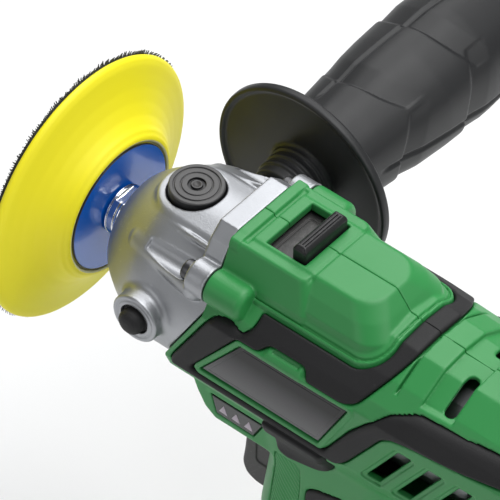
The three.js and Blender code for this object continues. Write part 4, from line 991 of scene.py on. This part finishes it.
grid = Grid((-100, -31, -141.2), (-14, 31, -119.2), 0.4 * FINE)
plan = round_rect(grid.x, grid.y, *PACK_PLAN)
case = extrude(plan, grid.z, -140.7, -128.3, 0.5)
case = less(case, both(plan + 2, slab(grid.z, -142, -130.9)))
case = less(case, both(-(plan + 0.55), slab(grid.z, -135.3, -134.7)))
rail_neck = box(grid, -94, -16, -16.6, 16.6, -129.3, -123.7)
rail_head = box(grid, -94, -16, -19.6, 19.6, -124.7, -119.6, 0.5)
latch_tray = box(grid, -24.2, -16.5, -10.7, 10.7, -140.1, -129.3)
case = union(case, rail_neck, rail_head, latch_tray)
contact_slots = [box(grid, -120, -73.6, y0, y1, -124, -118.6) for y0, y1 in ((7.1, 8.9), (-8.9, -7.1))]
case = less(case, *contact_slots, box(grid, -23.1, 0, -9.6, 9.6, -139, -126.3))
piece("battery_upper_shell", grid, case, 0.45, "battery", BLACK, "battery_upper_case")

grid = Grid((-22, -9.4, -133.8), (-13.8, 9.4, -128.2), 0.12 * FINE)
latch = box(grid, -21.6, -14.2, -9, 9, -133.4, -128.6, 0.5)
notches = both(slab(grid.z % 1.1, 0, 0.45), -(grid.x + 14.55), slab(grid.y, -7.5, 7.5))
latch = less(latch, box(grid, -19, -16.8, -7, 7, -140, -130), notches)
piece("battery_latch_button", grid, latch, 0.5, "battery_latch", GREY, "battery_latch")

# ---- Side handle ----
GRIP_LINE = [(-152, 0), (-152, 9), (-150.4, 13.2), (-148, 15.4), (-145, 16.5), (-138, 17), (-128, 16.6),
             (-118, 16.4), (-107, 17.0), (-96, 17.6), (-86, 17.6), (-78, 17.3), (-69, 16.6), (-60, 15.7),
             (-52, 14.9), (-46, 14.4), (-41.4, 14.3), (-40.6, 15.4), (-40.4, 26.4), (-39.9, 27.2),
             (-38.3, 27.2), (-37.6, 26.9), (-37.5, 26.0), (-38.3, 25.2), (-38.3, 10.4), (-37.6, 9.6),
             (-36.6, 9.6), (-36.3, 9.0), (-35.2, 9.0), (-34.9, 9.3), (-34.0, 9.3), (-33.7, 8.7), (-32.3, 8.7),
             (-32.0, 9.0), (-31.1, 9.0), (-30.8, 8.4), (-28.3, 8.2), (-28.3, 4.2), (-56, 4.2), (-56, 0)]


def around(angle, phase):
    """Angle between 0 and pi from a phase round the handle."""
    return np.abs((angle - phase + np.pi) % (2 * np.pi) - np.pi)


def moulded_grip(along, angle, radius):
    """Long facets, curved grooves, crescent steps and a parting ring on the grip."""
    on_grip = np.clip((-41.5 - along) / 3, 0, 1) * np.clip((along + 150.5) / 3, 0, 1) * (radius > 12)
    facet = 0.32 * np.cos(6 * angle)
    cut = np.zeros_like(radius)
    for phase, bend in ((0.55, 0.5), (2.65, -0.5), (4.75, 0.5)):
        track = phase + bend * np.sin((along + 50) / 62)
        off = around(angle, track) * 16
        fade = np.clip((along + 134) / 4, 0, 1) * np.clip((-52 - along) / 4, 0, 1)
        cut += 0.75 * np.exp(-(off / 0.8) ** 4) * fade
    for centre, span in ((-60, 1.0), (-85, 1.2)):
        for phase in (0.2, 2.3, 4.4):
            off = around(angle, phase)
            edge = along - (centre - 6 * (off / span) ** 2)
            step = np.where(edge < 0, np.clip(1 + edge / 7, 0, 1), np.exp(-(edge / 0.5) ** 2))
            cut += 0.85 * (off < span) * np.clip(1 - off / span, 0, 1) ** 0.3 * step
    ring = 0.45 * np.exp(-((along + 141) / 0.45) ** 4)
    return radius + on_grip * (facet - cut - ring)


handle = lathe("auxiliary_handle", eased(GRIP_LINE, 0.5), "y", 288, moulded_grip, 0.45)
crisp(handle, 60)
finish_piece(handle, "side_handle", HANDLE, ["side_handle"])

# ---- Stage ----
def area_light(name, place, aim, size, power):
    data = bpy.data.lights.new(name, "AREA")
    data.shape = "RECTANGLE"
    data.size, data.size_y = size
    data.energy = power
    ob = show(name, data)
    ob.location = place
    ob.rotation_euler = (Vector(aim) - Vector(place)).to_track_quat("-Z", "Y").to_euler()


area_light("soft_overhead", (-0.25, -0.35, 1.3), (0.0, -0.03, 0.12), (0.9, 0.9), 13)
area_light("soft_front", (0.62, -0.72, 1.1), (0.0, -0.03, 0.13), (1.0, 1.0), 9)
area_light("soft_left", (0.25, 1.2, 0.75), (0.0, 0.0, 0.12), (0.7, 0.7), 2.5)
area_light("soft_back", (-1.2, -0.2, 0.8), (0.0, 0.0, 0.12), (0.7, 0.7), 4)

world = bpy.data.worlds.new("studio")
world.use_nodes = True
world.node_tree.nodes["Background"].inputs["Color"].default_value = (0.95, 0.97, 1, 1)
world.node_tree.nodes["Background"].inputs["Strength"].default_value = 0.2
bpy.context.scene.world = world

floor_mesh = bpy.data.meshes.new("floor")
corners = [(x, y, -0.0006) for x, y in ((-6, -6), (6, -6), (6, 6), (-6, 6))]
floor_mesh.from_pydata(corners, [], [(0, 1, 2, 3)])
floor = show("floor", floor_mesh)
floor.data.materials.append(FLOOR)

bpy.context.scene.view_settings.view_transform = "Standard"
azimuth, elevation, roll = (math.radians(degrees) for degrees in (218.52, 46.01, 1.66))
distance = 1.5296
target = Vector((0.057 - 0.0076, -0.0084, 0.155 + 0.0018))
level = math.cos(elevation)
away = Vector((math.sin(azimuth) * level, -math.cos(azimuth) * level, math.sin(elevation)))
right = Vector((math.cos(azimuth), math.sin(azimuth), 0))
up = away.cross(right)
right, up = right * math.cos(roll) + up * math.sin(roll), up * math.cos(roll) - right * math.sin(roll)
eye = bpy.data.cameras.new("studio_camera")
eye.lens, eye.sensor_width = 440, 36
camera = show("studio_camera", eye)
turned = Matrix((right, up, away)).transposed().to_4x4()
camera.matrix_world = Matrix.Translation(target + away * distance) @ turned
bpy.context.scene.camera = camera
